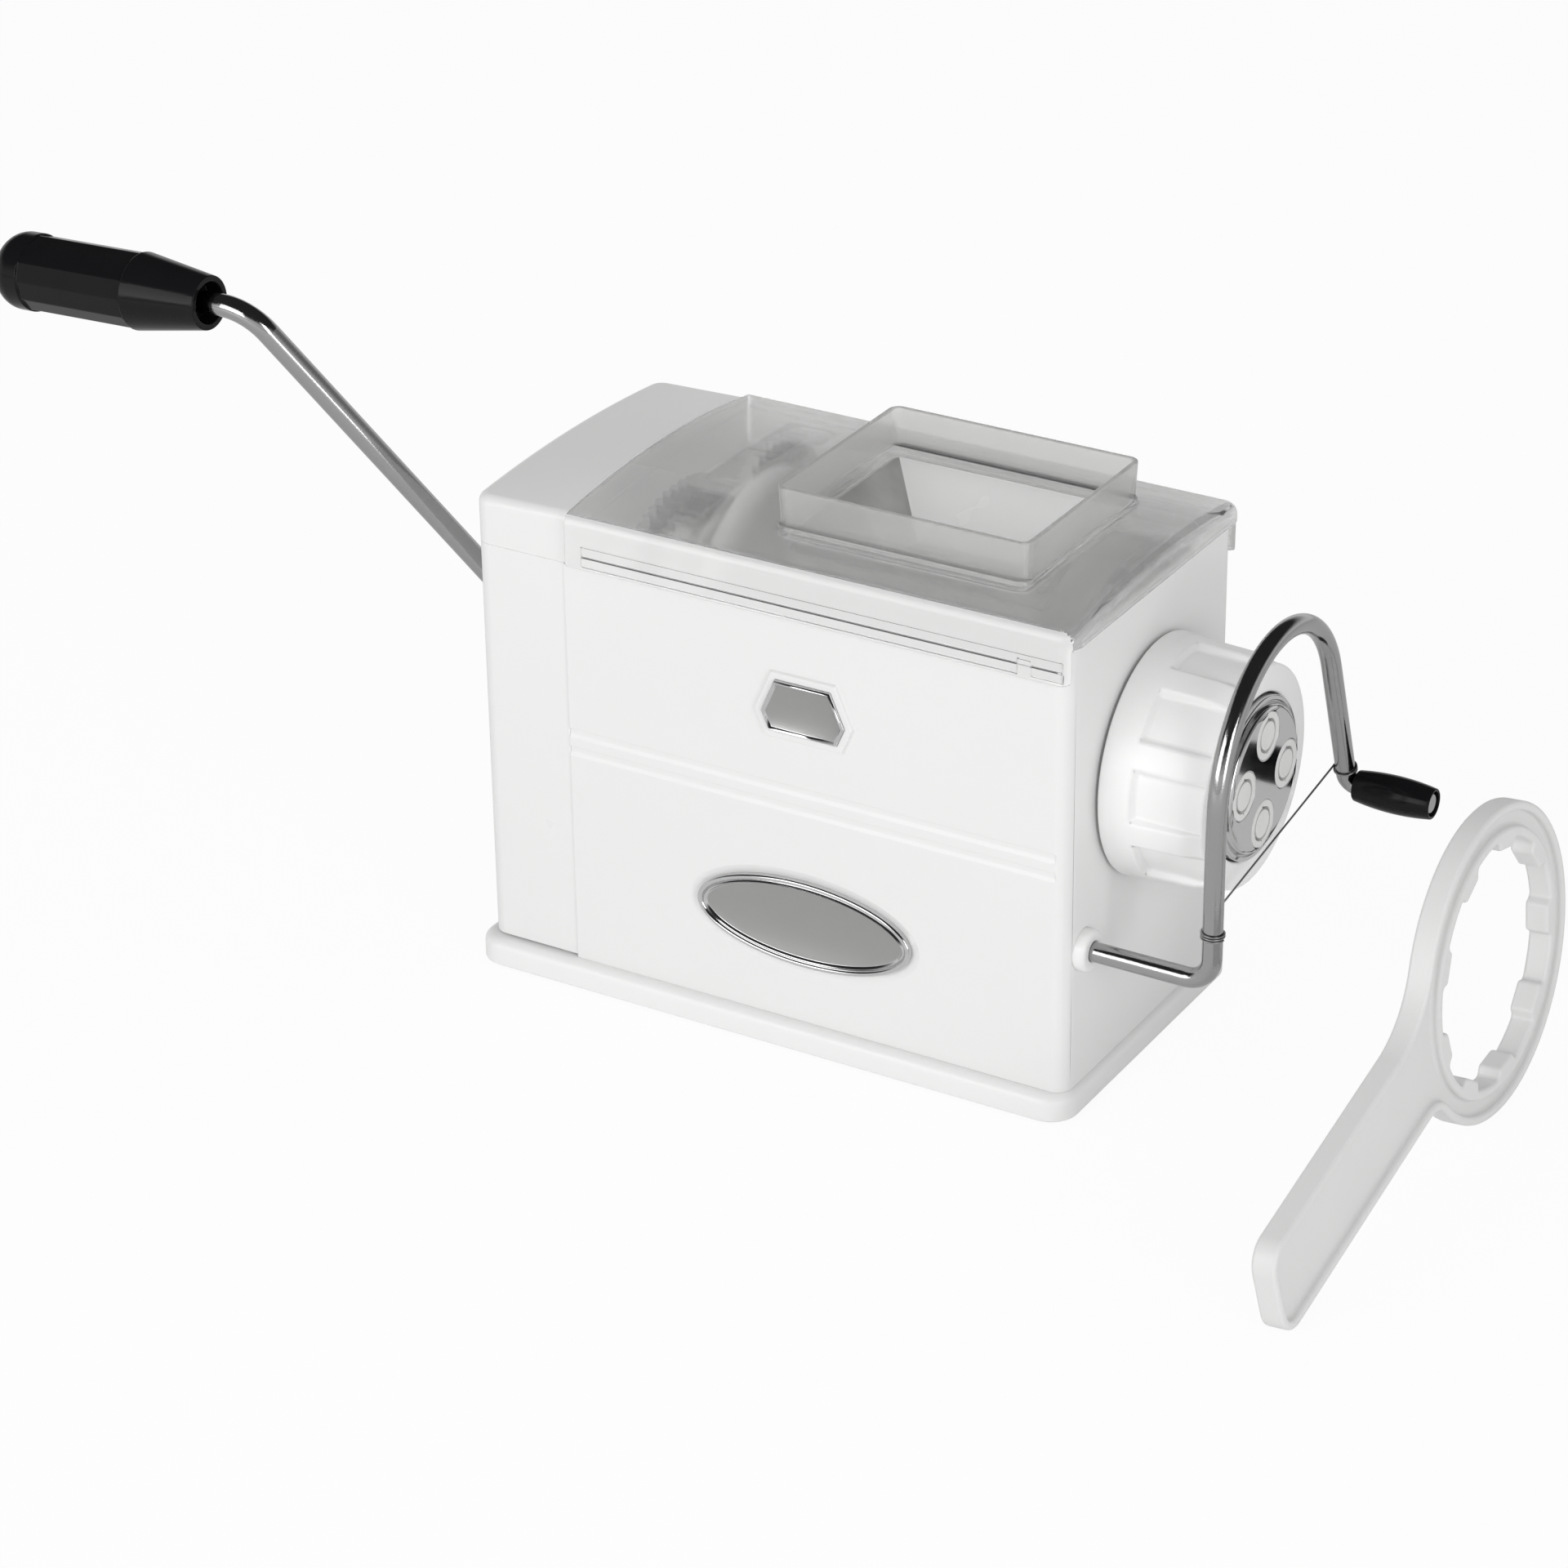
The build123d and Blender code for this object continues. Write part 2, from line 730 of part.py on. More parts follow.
# %% Feed chamber: arched hood and deck, floor, and an end plate that stands on the tray
hood_right = body_right - body_wall - bearing_boss_length - gap
with BuildPart() as feed_chamber:
    hood_floor_z = hood_centre_z + hood_floor
    with BuildSketch(across(hood_left)):
        with Locations((0, hood_centre_z)):
            Circle(hood_radius)
            with Locations((0, -hood_radius / 2)):
                Rectangle(2 * hood_radius, hood_radius, mode=Mode.SUBTRACT)
    extrude(amount=hood_right - hood_left)
    # deck that closes the casing round the hood, with a slot for the roller gears
    deck_left = seam_x + bulkhead + gap
    slot_left = plane_a - gear_slot
    slot_half = roller_y + gear_module * (roller_teeth / 2 + 1) + gear_slot
    with BuildSketch(Plane.XY.offset(deck_z)):
        with Locations(((deck_left + hood_right) / 2, 0)):
            Rectangle(hood_right - deck_left, 2 * (half_cavity - seat))
        with Locations(((slot_left + hood_left) / 2, 0)):
            Rectangle(hood_left - slot_left, 2 * slot_half, mode=Mode.SUBTRACT)
    extrude(amount=deck_thickness)
    with BuildSketch(across(hood_left + hood_wall)):
        with Locations((0, hood_centre_z)):
            Circle(hood_radius - hood_wall)
            with Locations((0, hood_floor - hood_radius / 2)):
                Rectangle(2 * hood_radius, hood_radius, mode=Mode.SUBTRACT)
    extrude(amount=hood_right - hood_left, mode=Mode.SUBTRACT)
    # the opening that the funnel drops into
    window_length = hopper_length_base + 2 * hood_window_margin
    with BuildSketch(Plane.XY.offset(roller_z)):
        with Locations((hopper_x, 0)):
            Rectangle(window_length, 2 * hood_window_half)
    extrude(amount=hood_radius, mode=Mode.SUBTRACT)
    # the throat down into the barrel
    with BuildSketch(Plane.XY.offset(axis_z)):
        with Locations(((throat_left + throat_right) / 2, 0)):
            Rectangle(throat_right - throat_left, 2 * throat_half_width)
    extrude(amount=hood_floor_z - axis_z + overrun, mode=Mode.SUBTRACT)
    # end plate
    with BuildSketch(across(hood_left)):
        with BuildLine():
            Polyline(
                (-pedestal_half_width, tray_deck),
                (-pedestal_half_width, hood_floor_z),
                (pedestal_half_width, hood_floor_z),
                (pedestal_half_width, tray_deck),
                close=True,
            )
        make_face()
    extrude(amount=hood_wall)
    with BuildSketch(across(hood_left)):
        with Locations((0, axis_z)):
            Circle(auger_core + running)
        with Locations((-roller_y, roller_z), (roller_y, roller_z)):
            Circle(roller_shaft + running)
    extrude(amount=hood_wall, mode=Mode.SUBTRACT)
    with BuildSketch(across(hood_left + hood_wall)):
        with Locations((0, axis_z)):
            Circle(barrel_outer + seat)
    extrude(amount=hood_right - hood_left, mode=Mode.SUBTRACT)
finish(feed_chamber, "feed_chamber")

# %% Barrel with its threaded snout
barrel_left = hood_left + hood_wall
with BuildPart() as barrel:
    with BuildSketch(Plane.XZ):
        with BuildLine():
            Polyline(
                (barrel_left, axis_z + barrel_inner),
                (snout_end - snout_mouth_depth - overrun, axis_z + barrel_inner),
                (snout_end - snout_mouth_depth + overrun, axis_z + snout_mouth),
                (snout_end, axis_z + snout_mouth),
                (snout_end, axis_z + snout_radius - overrun),
                (snout_end - overrun, axis_z + snout_radius),
                (body_right, axis_z + snout_radius),
                (body_right, axis_z + barrel_outer),
                (barrel_left, axis_z + barrel_outer),
                close=True,
            )
        make_face()
    revolve(axis=auger_axis)
    with BuildSketch(Plane.XY.offset(axis_z)):
        with Locations(((throat_left + throat_right) / 2, 0)):
            Rectangle(throat_right - throat_left, 2 * throat_half_width)
    extrude(amount=barrel_outer + overrun, mode=Mode.SUBTRACT)
finish(barrel, "barrel")

# %% Auger: one helical flight wound on a core
flight_left = barrel_left + gap + auger_root_thickness
flight_length = auger_pitch * auger_turns
with BuildPart() as auger:
    with BuildLine():
        thread = Helix(
            auger_pitch,
            flight_length,
            auger_core,
            center=(flight_left, 0, axis_z),
            direction=(1, 0, 0),
        )
    start = thread @ 0
    outward = (start - Vector(flight_left, 0, axis_z)).normalized()
    with BuildSketch(Plane(origin=start, x_dir=outward, z_dir=thread % 0)):
        with BuildLine():
            Polyline(
                (-auger_sink, -auger_root_thickness / 2),
                (auger_tip - auger_core, -auger_tip_thickness / 2),
                (auger_tip - auger_core, auger_tip_thickness / 2),
                (-auger_sink, auger_root_thickness / 2),
                close=True,
            )
        make_face()
    sweep(path=thread, is_frenet=True)
    with BuildSketch(across(auger_left)):
        with Locations((0, axis_z)):
            Circle(auger_core)
    extrude(amount=auger_right - auger_left)
    with BuildSketch(across(auger_left)):
        with Locations((0, axis_z)):
            Circle(drive_radius + seat)
    extrude(amount=drive_right - auger_left + seat, mode=Mode.SUBTRACT)
finish(auger, "auger")

# %% Drive shaft with the socket that takes the crank
with BuildPart() as drive_shaft:
    with BuildSketch(across(drive_left)):
        with Locations((0, axis_z)):
            Circle(drive_radius)
    extrude(amount=drive_right - drive_left)
    with BuildSketch(across(hub_left)):
        with Locations((0, axis_z)):
            Circle(hub_radius)
    extrude(amount=hub_length)
    with BuildSketch(across(hub_left)):
        with Locations((0, axis_z)):
            Circle(rod_radius + seat)
    extrude(amount=hub_bore_depth, mode=Mode.SUBTRACT)
finish(drive_shaft, "drive_shaft")

# %% Bush in the gear cover's end wall
with BuildPart() as crank_bush:
    with BuildSketch(across(body_left)):
        with Locations((0, axis_z)):
            Circle(hub_radius + bush_wall)
    extrude(amount=body_wall + bush_wall)
    with BuildSketch(across(body_left - bush_flange_thickness)):
        with Locations((0, axis_z)):
            Circle(hub_radius + bush_wall + bush_flange)
    extrude(amount=bush_flange_thickness)
    with BuildSketch(across(body_left - bush_flange_thickness)):
        with Locations((0, axis_z)):
            Circle(hub_radius + running)
    extrude(amount=bush_flange_thickness + body_wall + bush_wall, mode=Mode.SUBTRACT)
finish(crank_bush, "crank_bush")


def gear_tooth(teeth):
    """One tooth on the X axis, with flanks that follow the involute."""
    pitch_radius = gear_module * teeth / 2
    base_radius = pitch_radius * math.cos(math.radians(pressure_angle))

    def involute(radius):
        angle = math.acos(min(base_radius / radius, 1))
        return math.tan(angle) - angle

    half_tooth = (math.pi * gear_module / 2 - backlash) / 2 / pitch_radius
    root = pitch_radius - dedendum_share * gear_module
    flank = []
    for radius in (root, pitch_radius, pitch_radius + gear_module):
        angle = half_tooth + involute(pitch_radius) - involute(radius)
        flank.append((radius * math.cos(angle), radius * math.sin(angle)))
    foot = (root - gear_module, flank[0][1])
    upper = [foot] + flank
    return closed(*[(x, -y) for x, y in upper], *upper[::-1])


def gear(name, teeth, left, y, z, turn, bore):
    """A spur gear with a dished web and a hub, with one tooth at angle turn."""
    root = gear_module * (teeth / 2 - dedendum_share)
    tooth = gear_tooth(teeth)
    with BuildPart() as wheel:
        with BuildSketch(across(left)):
            with Locations((y, z)):
                Circle(root)
                with PolarLocations(0, teeth, start_angle=turn):
                    add(tooth)
        extrude(amount=gear_width)
        for face in (left, left + gear_width - web_depth):
            with BuildSketch(across(face)):
                with Locations((y, z)):
                    Circle(root - web_rim)
                    Circle(bore + gear_hub, mode=Mode.SUBTRACT)
            extrude(amount=web_depth, mode=Mode.SUBTRACT)
        with BuildSketch(across(left)):
            with Locations((y, z)):
                Circle(bore + seat)
        extrude(amount=gear_width, mode=Mode.SUBTRACT)
    finish(wheel, name)


# %% Gears: the crank's gear drives the front roller, which drives the back one
mesh_angle = math.degrees(math.atan2(roller_z - axis_z, -roller_y))
half_step = 180 / roller_teeth
gear("auger_gear", crank_teeth, plane_a, 0, axis_z, mesh_angle, auger_core)
gear(
    "front_drive_gear",
    roller_teeth,
    plane_a,
    -roller_y,
    roller_z,
    mesh_angle + 180 + half_step,
    roller_shaft,
)
gear("front_timing_gear", roller_teeth, plane_b, -roller_y, roller_z, 0, roller_shaft)
gear("back_timing_gear", roller_teeth, plane_b, roller_y, roller_z, 0, roller_shaft)

# %% Feed rollers and their shafts
roller_left = hood_left + hood_wall + gap
roller_right = hood_right - gap
shaft_right = body_right - body_wall - gap
for side, y in (("front", -roller_y), ("back", roller_y)):
    with BuildPart() as roller:
        with BuildSketch(across(roller_left)):
            with Locations((y, roller_z)):
                Circle(roller_radius)
                with PolarLocations(roller_radius + flute_sink, roller_flutes):
                    Circle(flute_radius, mode=Mode.SUBTRACT)
                Circle(roller_shaft + seat, mode=Mode.SUBTRACT)
        extrude(amount=roller_right - roller_left)
    finish(roller, f"{side}_roller")
    with BuildPart() as shaft:
        with BuildSketch(across(roller_shaft_left)):
            with Locations((y, roller_z)):
                Circle(roller_shaft)
        extrude(amount=shaft_right - roller_shaft_left)
    finish(shaft, f"{side}_roller_shaft")

# %% Die: stepped disc with four tube inserts
insert_spots = [
    (
        insert_offset * math.cos(math.radians(insert_turn + 360 / insert_count * step)),
        axis_z + insert_offset * math.sin(math.radians(insert_turn + 360 / insert_count * step)),
    )
    for step in range(insert_count)
]
with BuildPart() as die:
    with BuildSketch(Plane.XZ):
        with BuildLine():
            Polyline(
                (die_flange_back, axis_z),
                (die_flange_back, axis_z + die_flange),
                (die_flange_front, axis_z + die_flange),
                (die_flange_front, axis_z + die_step_radius),
                (die_step_front, axis_z + die_step_radius),
                (die_step_front, axis_z + die_boss_radius + die_groove),
                (die_step_front - die_groove, axis_z + die_boss_radius + die_groove / 2),
                (die_step_front, axis_z + die_boss_radius),
                (die_boss_front - die_groove, axis_z + die_boss_radius - die_groove / 2),
                (die_boss_front, axis_z + die_boss_radius - 2 * die_groove),
                (die_boss_front, axis_z),
                close=True,
            )
        make_face()
    revolve(axis=auger_axis)
    with BuildSketch(across(insert_back)):
        with Locations(*insert_spots):
            Circle(insert_radius + seat)
    extrude(amount=die_boss_front - insert_back, mode=Mode.SUBTRACT)
    with BuildSketch(across(die_flange_back)):
        with Locations(*insert_spots):
            Circle(slot_outer)
    extrude(amount=insert_back - die_flange_back, mode=Mode.SUBTRACT)
finish(die, "die")

with BuildPart() as die_inserts:
    with BuildSketch(across(insert_back)):
        with Locations(*insert_spots):
            Circle(insert_radius)
    extrude(amount=die_boss_front - insert_back)
    with BuildSketch(across(die_boss_front)):
        with Locations(*insert_spots):
            Circle(slot_outer)
            Circle(slot_inner, mode=Mode.SUBTRACT)
            with Locations((0, slot_outer), (0, -slot_outer)):
                Rectangle(key_notch, key_notch)
    extrude(amount=-slot_depth, mode=Mode.SUBTRACT)
    with BuildSketch(across(insert_back)):
        with Locations(*insert_spots):
            with PolarLocations((slot_inner + slot_outer - feed_hole) / 2, feed_hole_count):
                Circle(feed_hole)
    extrude(amount=die_boss_front - insert_back - slot_depth + overrun, mode=Mode.SUBTRACT)
finish(die_inserts, "die_inserts")

# %% Ring nut with nine grip notches
notch_x = notch_floor * math.cos(math.radians(notch_half_angle))
notch_y = notch_floor * math.sin(math.radians(notch_half_angle))
notch_reach = nut_rim_radius + overrun
with BuildSketch(Plane.XY) as notch_sketch:
    with BuildLine():
        Line((notch_x, notch_y), (notch_reach, notch_y + notch_flare))
        Line((notch_reach, notch_y + notch_flare), (notch_reach, -notch_y - notch_flare))
        Line((notch_reach, -notch_y - notch_flare), (notch_x, -notch_y))
        ThreePointArc((notch_x, -notch_y), (notch_floor, 0), (notch_x, notch_y))
    make_face()
notch = notch_sketch.sketch
nut_back = body_right + nut_standoff
with BuildPart() as ring_nut:
    with BuildSketch(Plane.XZ):
        with BuildLine():
            Polyline(
                (nut_back, axis_z + snout_radius + gap),
                (nut_back, axis_z + nut_rim_radius),
                (nut_back + nut_rim_width, axis_z + nut_rim_radius),
                (nut_back + nut_rim_width + nut_rounding, axis_z + nut_radius),
                (nut_shoulder_x, axis_z + nut_shoulder_radius),
                (nut_front, axis_z + nut_front_radius),
                (nut_front, axis_z + nut_lip_radius),
                (nut_front - nut_lip, axis_z + nut_lip_radius),
                (nut_front - nut_lip, axis_z + snout_radius + gap),
                close=True,
            )
        make_face()
    revolve(axis=auger_axis)
    fillet(
        ring_nut.edges().filter_by(GeomType.CIRCLE).filter_by(
            lambda edge: abs(edge.radius - nut_rim_radius) < seat
            or abs(edge.radius - nut_front_radius) < seat
        ),
        nut_rounding,
    )
    with BuildSketch(across(notch_back)):
        with Locations((0, axis_z)):
            with PolarLocations(0, notch_count, start_angle=notch_turn):
                add(notch)
    extrude(amount=nut_front - notch_back + overrun, mode=Mode.SUBTRACT)
finish(ring_nut, "ring_nut")

# %% Crank arm: one bent rod
lean = math.radians(crank_lean)
crank_plane = Plane(
    origin=(0, 0, axis_z), x_dir=(1, 0, 0), z_dir=(0, -math.cos(lean), -math.sin(lean))
)
pin_angle = math.radians(pin_lean)
pin_way = (-math.cos(pin_angle), -math.sin(pin_angle))
pin_length = grip_start + grip_length - pin_room
pin_end = (elbow_x + pin_length * pin_way[0], elbow_reach + pin_length * pin_way[1])
crank_inner = hub_left + hub_bore_depth - seat
with BuildPart() as crank_arm:
    with BuildLine(crank_plane) as rod_line:
        FilletPolyline(
            (crank_inner, 0),
            (arm_bend_x, 0),
            (elbow_x, elbow_reach),
            pin_end,
            radius=[arm_bend, elbow_bend],
        )
    rod = rod_line.wires()[0]
    with BuildSketch(Plane(origin=rod @ 0, z_dir=rod % 0)):
        Circle(rod_radius)
    sweep(path=rod)
finish(crank_arm, "crank_arm")

# %% Crank grip, turning on the rod's end
grip_plane = Plane(
    origin=crank_plane.from_local_coords((elbow_x, elbow_reach, 0)),
    x_dir=crank_plane.from_local_coords(Vector(*pin_way, 0)) - crank_plane.origin,
    z_dir=crank_plane.z_dir,
)
grip_axis = Axis(grip_plane.origin, grip_plane.x_dir)
grip_end = grip_start + grip_length
with BuildPart() as crank_grip:
    with BuildSketch(grip_plane):
        with BuildLine():
            Polyline(
                (grip_end, 0),
                (pin_length + gap, 0),
                (pin_length + gap, rod_radius + running),
                (grip_start + grip_mouth_depth, rod_radius + running),
                (grip_start + grip_mouth_depth, grip_mouth_bore),
                (grip_start, grip_mouth_bore),
                (grip_start, grip_mouth),
                (grip_start + grip_taper, grip_radius),
                (grip_end - grip_end_radius, grip_radius),
            )
            RadiusArc(
                (grip_end - grip_end_radius, grip_radius),
                (grip_end, grip_radius - grip_end_radius),
                grip_end_radius,
            )
            Line((grip_end, grip_radius - grip_end_radius), (grip_end, 0))
        make_face()
    revolve(axis=grip_axis)
    pad_width = 2 * (grip_radius - pad_depth) * math.tan(math.pi / grip_pads)
    pad_length = grip_length - pad_start - grip_taper
    pad_plane = Plane(
        origin=grip_plane.from_local_coords((grip_end - pad_start - pad_length, 0, 0)),
        x_dir=grip_plane.y_dir,
        z_dir=grip_plane.x_dir,
    )
    with BuildSketch(pad_plane):
        Circle(grip_radius + overrun)
        RegularPolygon(grip_radius - pad_depth, grip_pads, major_radius=False, mode=Mode.SUBTRACT)
    extrude(amount=pad_length, mode=Mode.SUBTRACT)
finish(crank_grip, "crank_grip")

# %% Pivot boss in the end wall
with BuildPart() as pivot_boss:
    with BuildSketch(across(body_right - body_wall)):
        with Locations((pivot_y, pivot_z)):
            Circle(pivot_boss_radius)
    extrude(amount=body_wall + pivot_boss_proud)
    chamfer(pivot_boss.faces().sort_by(Axis.X)[-1].edges(), overrun)
    with BuildSketch(across(body_right - body_wall - bush_flange_thickness)):
        with Locations((pivot_y, pivot_z)):
            Circle(pivot_boss_flange)
    extrude(amount=bush_flange_thickness)
    with BuildSketch(across(body_right - body_wall - bush_flange_thickness)):
        with Locations((pivot_y, pivot_z)):
            Circle(pivot_boss_bore)
    extrude(amount=bush_flange_thickness + body_wall + pivot_boss_proud, mode=Mode.SUBTRACT)
finish(pivot_boss, "pivot_boss")

# %% Cutter frame: one rod bent round in front of the die
turn_one = math.radians(first_turn)
turn_all = math.radians(whole_turn)
centre_one = Vector(frame_x, pivot_y + first_arc, leg_top)


def on_arc(centre, radius, turn):
    """The point that a clockwise arc reaches after turn, seen from the front of the die."""
    return centre + Vector(0, -math.cos(turn), math.sin(turn)) * radius


arc_join = on_arc(centre_one, first_arc, turn_one)
centre_two = arc_join - Vector(0, -math.cos(turn_one), math.sin(turn_one)) * second_arc
arc_end = on_arc(centre_two, second_arc, turn_all)
toe_way = Vector(0, math.sin(turn_all), math.cos(turn_all))
toe = arc_end + toe_way * ((arc_end.Z - toe_z) / -toe_way.Z)
along = Vector(1, 0, 0)
upward = Vector(0, 0, 1)
pivot_inner = Vector(body_right - body_wall, pivot_y, pivot_z)
heel = Vector(frame_x, pivot_y, pivot_z)
knob_right = knob_left + knob_length
rod_end_x = knob_right - knob_recess_depth


def square_bend(corner, way_in, way_out, radius):
    """A quarter arc that takes a rod round a square corner."""
    centre = corner - way_in * radius + way_out * radius
    middle = centre + (way_in - way_out).normalized() * radius
    ThreePointArc(corner - way_in * radius, middle, corner + way_out * radius)


with BuildPart() as cutter_frame:
    with BuildLine() as frame_line:
        Line(pivot_inner, heel - along * heel_bend)
        square_bend(heel, along, upward, heel_bend)
        Line(heel + upward * heel_bend, on_arc(centre_one, first_arc, 0))
        ThreePointArc(
            on_arc(centre_one, first_arc, 0),
            on_arc(centre_one, first_arc, turn_one / 2),
            arc_join,
        )
        ThreePointArc(
            arc_join,
            on_arc(centre_two, second_arc, (turn_one + turn_all) / 2),
            arc_end,
        )
        Line(arc_end, toe - toe_way * toe_bend)
        square_bend(toe, toe_way, along, toe_bend)
        Line(toe + along * toe_bend, Vector(rod_end_x, toe.Y, toe.Z))
    frame_path = frame_line.wires()[0]
    with BuildSketch(Plane(origin=frame_path @ 0, z_dir=frame_path % 0)):
        Circle(cutter_rod)
    sweep(path=frame_path)
finish(cutter_frame, "cutter_frame")

# %% Cutting wire: wrapped on the leg, drawn across the die, wrapped on the far side
wrap_radius = cutter_rod + wire_radius + seat
wrap_height = wire_wrap_pitch * (wire_wraps + 1 / 2)
far_height = wire_wrap_pitch * (wire_far_wraps + 1 / 2)
wire_x = frame_x - wrap_radius
far_share = (arc_end.Z - wire_far_z) / (arc_end.Z - toe.Z)
far_centre = arc_end + (toe - arc_end) * far_share
with BuildPart() as cutter_wire:
    for centre, way, height, left in (
        (Vector(frame_x, pivot_y, wire_z), upward * -1, wrap_height, True),
        (far_centre, toe_way, far_height, False),
    ):
        coil = Helix(wire_wrap_pitch, height, wrap_radius, lefthand=left, mode=Mode.PRIVATE)
        wrap = Plane(origin=centre, x_dir=along * -1, z_dir=way).location * coil
        with BuildSketch(Plane(origin=wrap @ 0, z_dir=wrap % 0)):
            Circle(wire_radius)
        sweep(path=wrap, is_frenet=True)
        with Locations(wrap @ 0):
            Sphere(wire_radius)
    span_start = Vector(wire_x, pivot_y, wire_z)
    span_end = Vector(wire_x, far_centre.Y, far_centre.Z)
    with BuildLine():
        span = Line(span_start, span_end)
    with BuildSketch(Plane(origin=span_start, z_dir=span_end - span_start)):
        Circle(wire_radius)
    sweep(path=span)
finish(cutter_wire, "cutter_wire")

# %% Cutter knob and the rivet that keeps it on
knob_axis = Axis((0, toe.Y, toe.Z), (1, 0, 0))
knob_plane = Plane(origin=(0, toe.Y, toe.Z), x_dir=(1, 0, 0), z_dir=(0, -1, 0))
with BuildPart() as cutter_knob:
    with BuildSketch(knob_plane):
        with BuildLine():
            Polyline(
                (knob_left, knob_end_radius),
                (knob_left, knob_mouth),
                (knob_left + knob_mouth_depth, knob_mouth),
                (knob_left + knob_mouth_depth, cutter_rod + running),
                (knob_right - knob_recess_depth, cutter_rod + running),
                (knob_right - knob_recess_depth, knob_recess),
                (knob_right, knob_recess),
                (knob_right, knob_end_radius),
            )
            ThreePointArc(
                (knob_right, knob_end_radius),
                ((knob_left + knob_right) / 2, knob_middle_radius),
                (knob_left, knob_end_radius),
            )
        make_face()
    revolve(axis=knob_axis)
finish(cutter_knob, "cutter_knob")

with BuildPart() as cutter_rivet:
    with BuildSketch(across(rod_end_x)):
        with Locations((toe.Y, toe.Z)):
            Circle(rivet_radius)
    extrude(amount=rivet_height)
    fillet(cutter_rivet.faces().sort_by(Axis.X)[-1].edges(), rivet_height / 2)
finish(cutter_rivet, "cutter_rivet")

# %% Ring spanner, standing on its rim and its handle's end
heading = math.radians(spanner_heading)
tilt = math.radians(spanner_tilt)
spanner_out = Vector(
    math.cos(heading) * math.cos(tilt), math.sin(heading) * math.cos(tilt), math.sin(tilt)
)
spanner_side = Vector(-math.sin(heading), math.cos(heading), 0)
spanner_z = spanner_radius * math.cos(tilt) + spanner_thickness * math.sin(tilt)
spanner_plane = Plane(
    origin=(spanner_x, spanner_y, spanner_z), x_dir=spanner_side, z_dir=spanner_out
)
handle_angle = math.radians(handle_lean)
handle_way = Vector(-math.cos(handle_angle), -math.sin(handle_angle))
handle_side = Vector(-math.sin(handle_angle), math.cos(handle_angle))


def handle_point(reach, side):
    """A place on the handle, from its length along the handle and its side offset."""
    point = handle_way * reach + handle_side * (side - handle_drop)
    return (point.X, point.Y)


def spanner_outline():
    """Ring and handle seen from the front, with the necks rounded in."""
    with BuildSketch() as outline:
        Circle(spanner_radius)
        with BuildLine():
            Polyline(
                handle_point(0, handle_width / 2),
                handle_point(handle_reach, handle_width / 2),
                handle_point(handle_reach, -handle_width / 2),
                handle_point(0, -handle_width / 2),
                close=True,
            )
        make_face()
        fillet(outline.vertices().sort_by(Axis.X)[:2], handle_corner)
        necks = outline.vertices().filter_by(
            lambda corner: abs(math.hypot(corner.X, corner.Y) - spanner_radius) < seat
            and corner.X < -handle_width
        )
        fillet(necks.sort_by(Axis.Y)[-1], handle_neck_top)
        necks = outline.vertices().filter_by(
            lambda corner: abs(math.hypot(corner.X, corner.Y) - spanner_radius) < seat
            and corner.X < -handle_width
            and corner.Y < -handle_drop
        )
        fillet(necks.sort_by(Axis.Y)[0], handle_neck_bottom)
    return outline.sketch


outline = spanner_outline()
tooth_root = spanner_bore + seat * 2
root_x = tooth_root * math.cos(math.radians(tooth_half_angle))
root_y = tooth_root * math.sin(math.radians(tooth_half_angle))
tip_y = tooth_tip * math.sin(math.radians(tooth_half_angle)) - tooth_draft
with BuildSketch(Plane.XY) as tooth_sketch:
    with BuildLine():
        Line((root_x, -root_y), (tooth_tip, -tip_y))
        Line((tooth_tip, -tip_y), (tooth_tip, tip_y))
        Line((tooth_tip, tip_y), (root_x, root_y))
        ThreePointArc((root_x, root_y), (tooth_root, 0), (root_x, -root_y))
    make_face()
grip_tooth = tooth_sketch.sketch
with BuildPart() as spanner:
    with BuildSketch(spanner_plane):
        add(outline)
    extrude(amount=-spanner_thickness)
    # the front face is recessed inside a rim, and a collar stands round the ring's hole
    with BuildSketch(spanner_plane.offset(-spanner_recess)) as panel:
        add(offset(outline, amount=-spanner_rim, mode=Mode.PRIVATE))
        Circle(spanner_bore + spanner_collar, mode=Mode.SUBTRACT)
    extrude(amount=spanner_recess, mode=Mode.SUBTRACT)
    with BuildSketch(spanner_plane):
        Circle(spanner_bore)
    extrude(amount=-spanner_thickness, mode=Mode.SUBTRACT)
    with BuildSketch(spanner_plane):
        with PolarLocations(0, tooth_count, start_angle=tooth_turn):
            add(grip_tooth)
    extrude(amount=-spanner_thickness)
finish(spanner, "spanner")
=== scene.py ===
# %% [markdown]
# # A hand-cranked pasta machine, dressed for its portrait
# The machine is white moulded plastic with a clear lid, a chromed die, bent
# chrome rods and a black grip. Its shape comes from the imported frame, which
# is loaded first and never moved. The cells after it set the camera and the
# light, mix the finishes, and then make the pieces whose rounded edges catch
# the light.

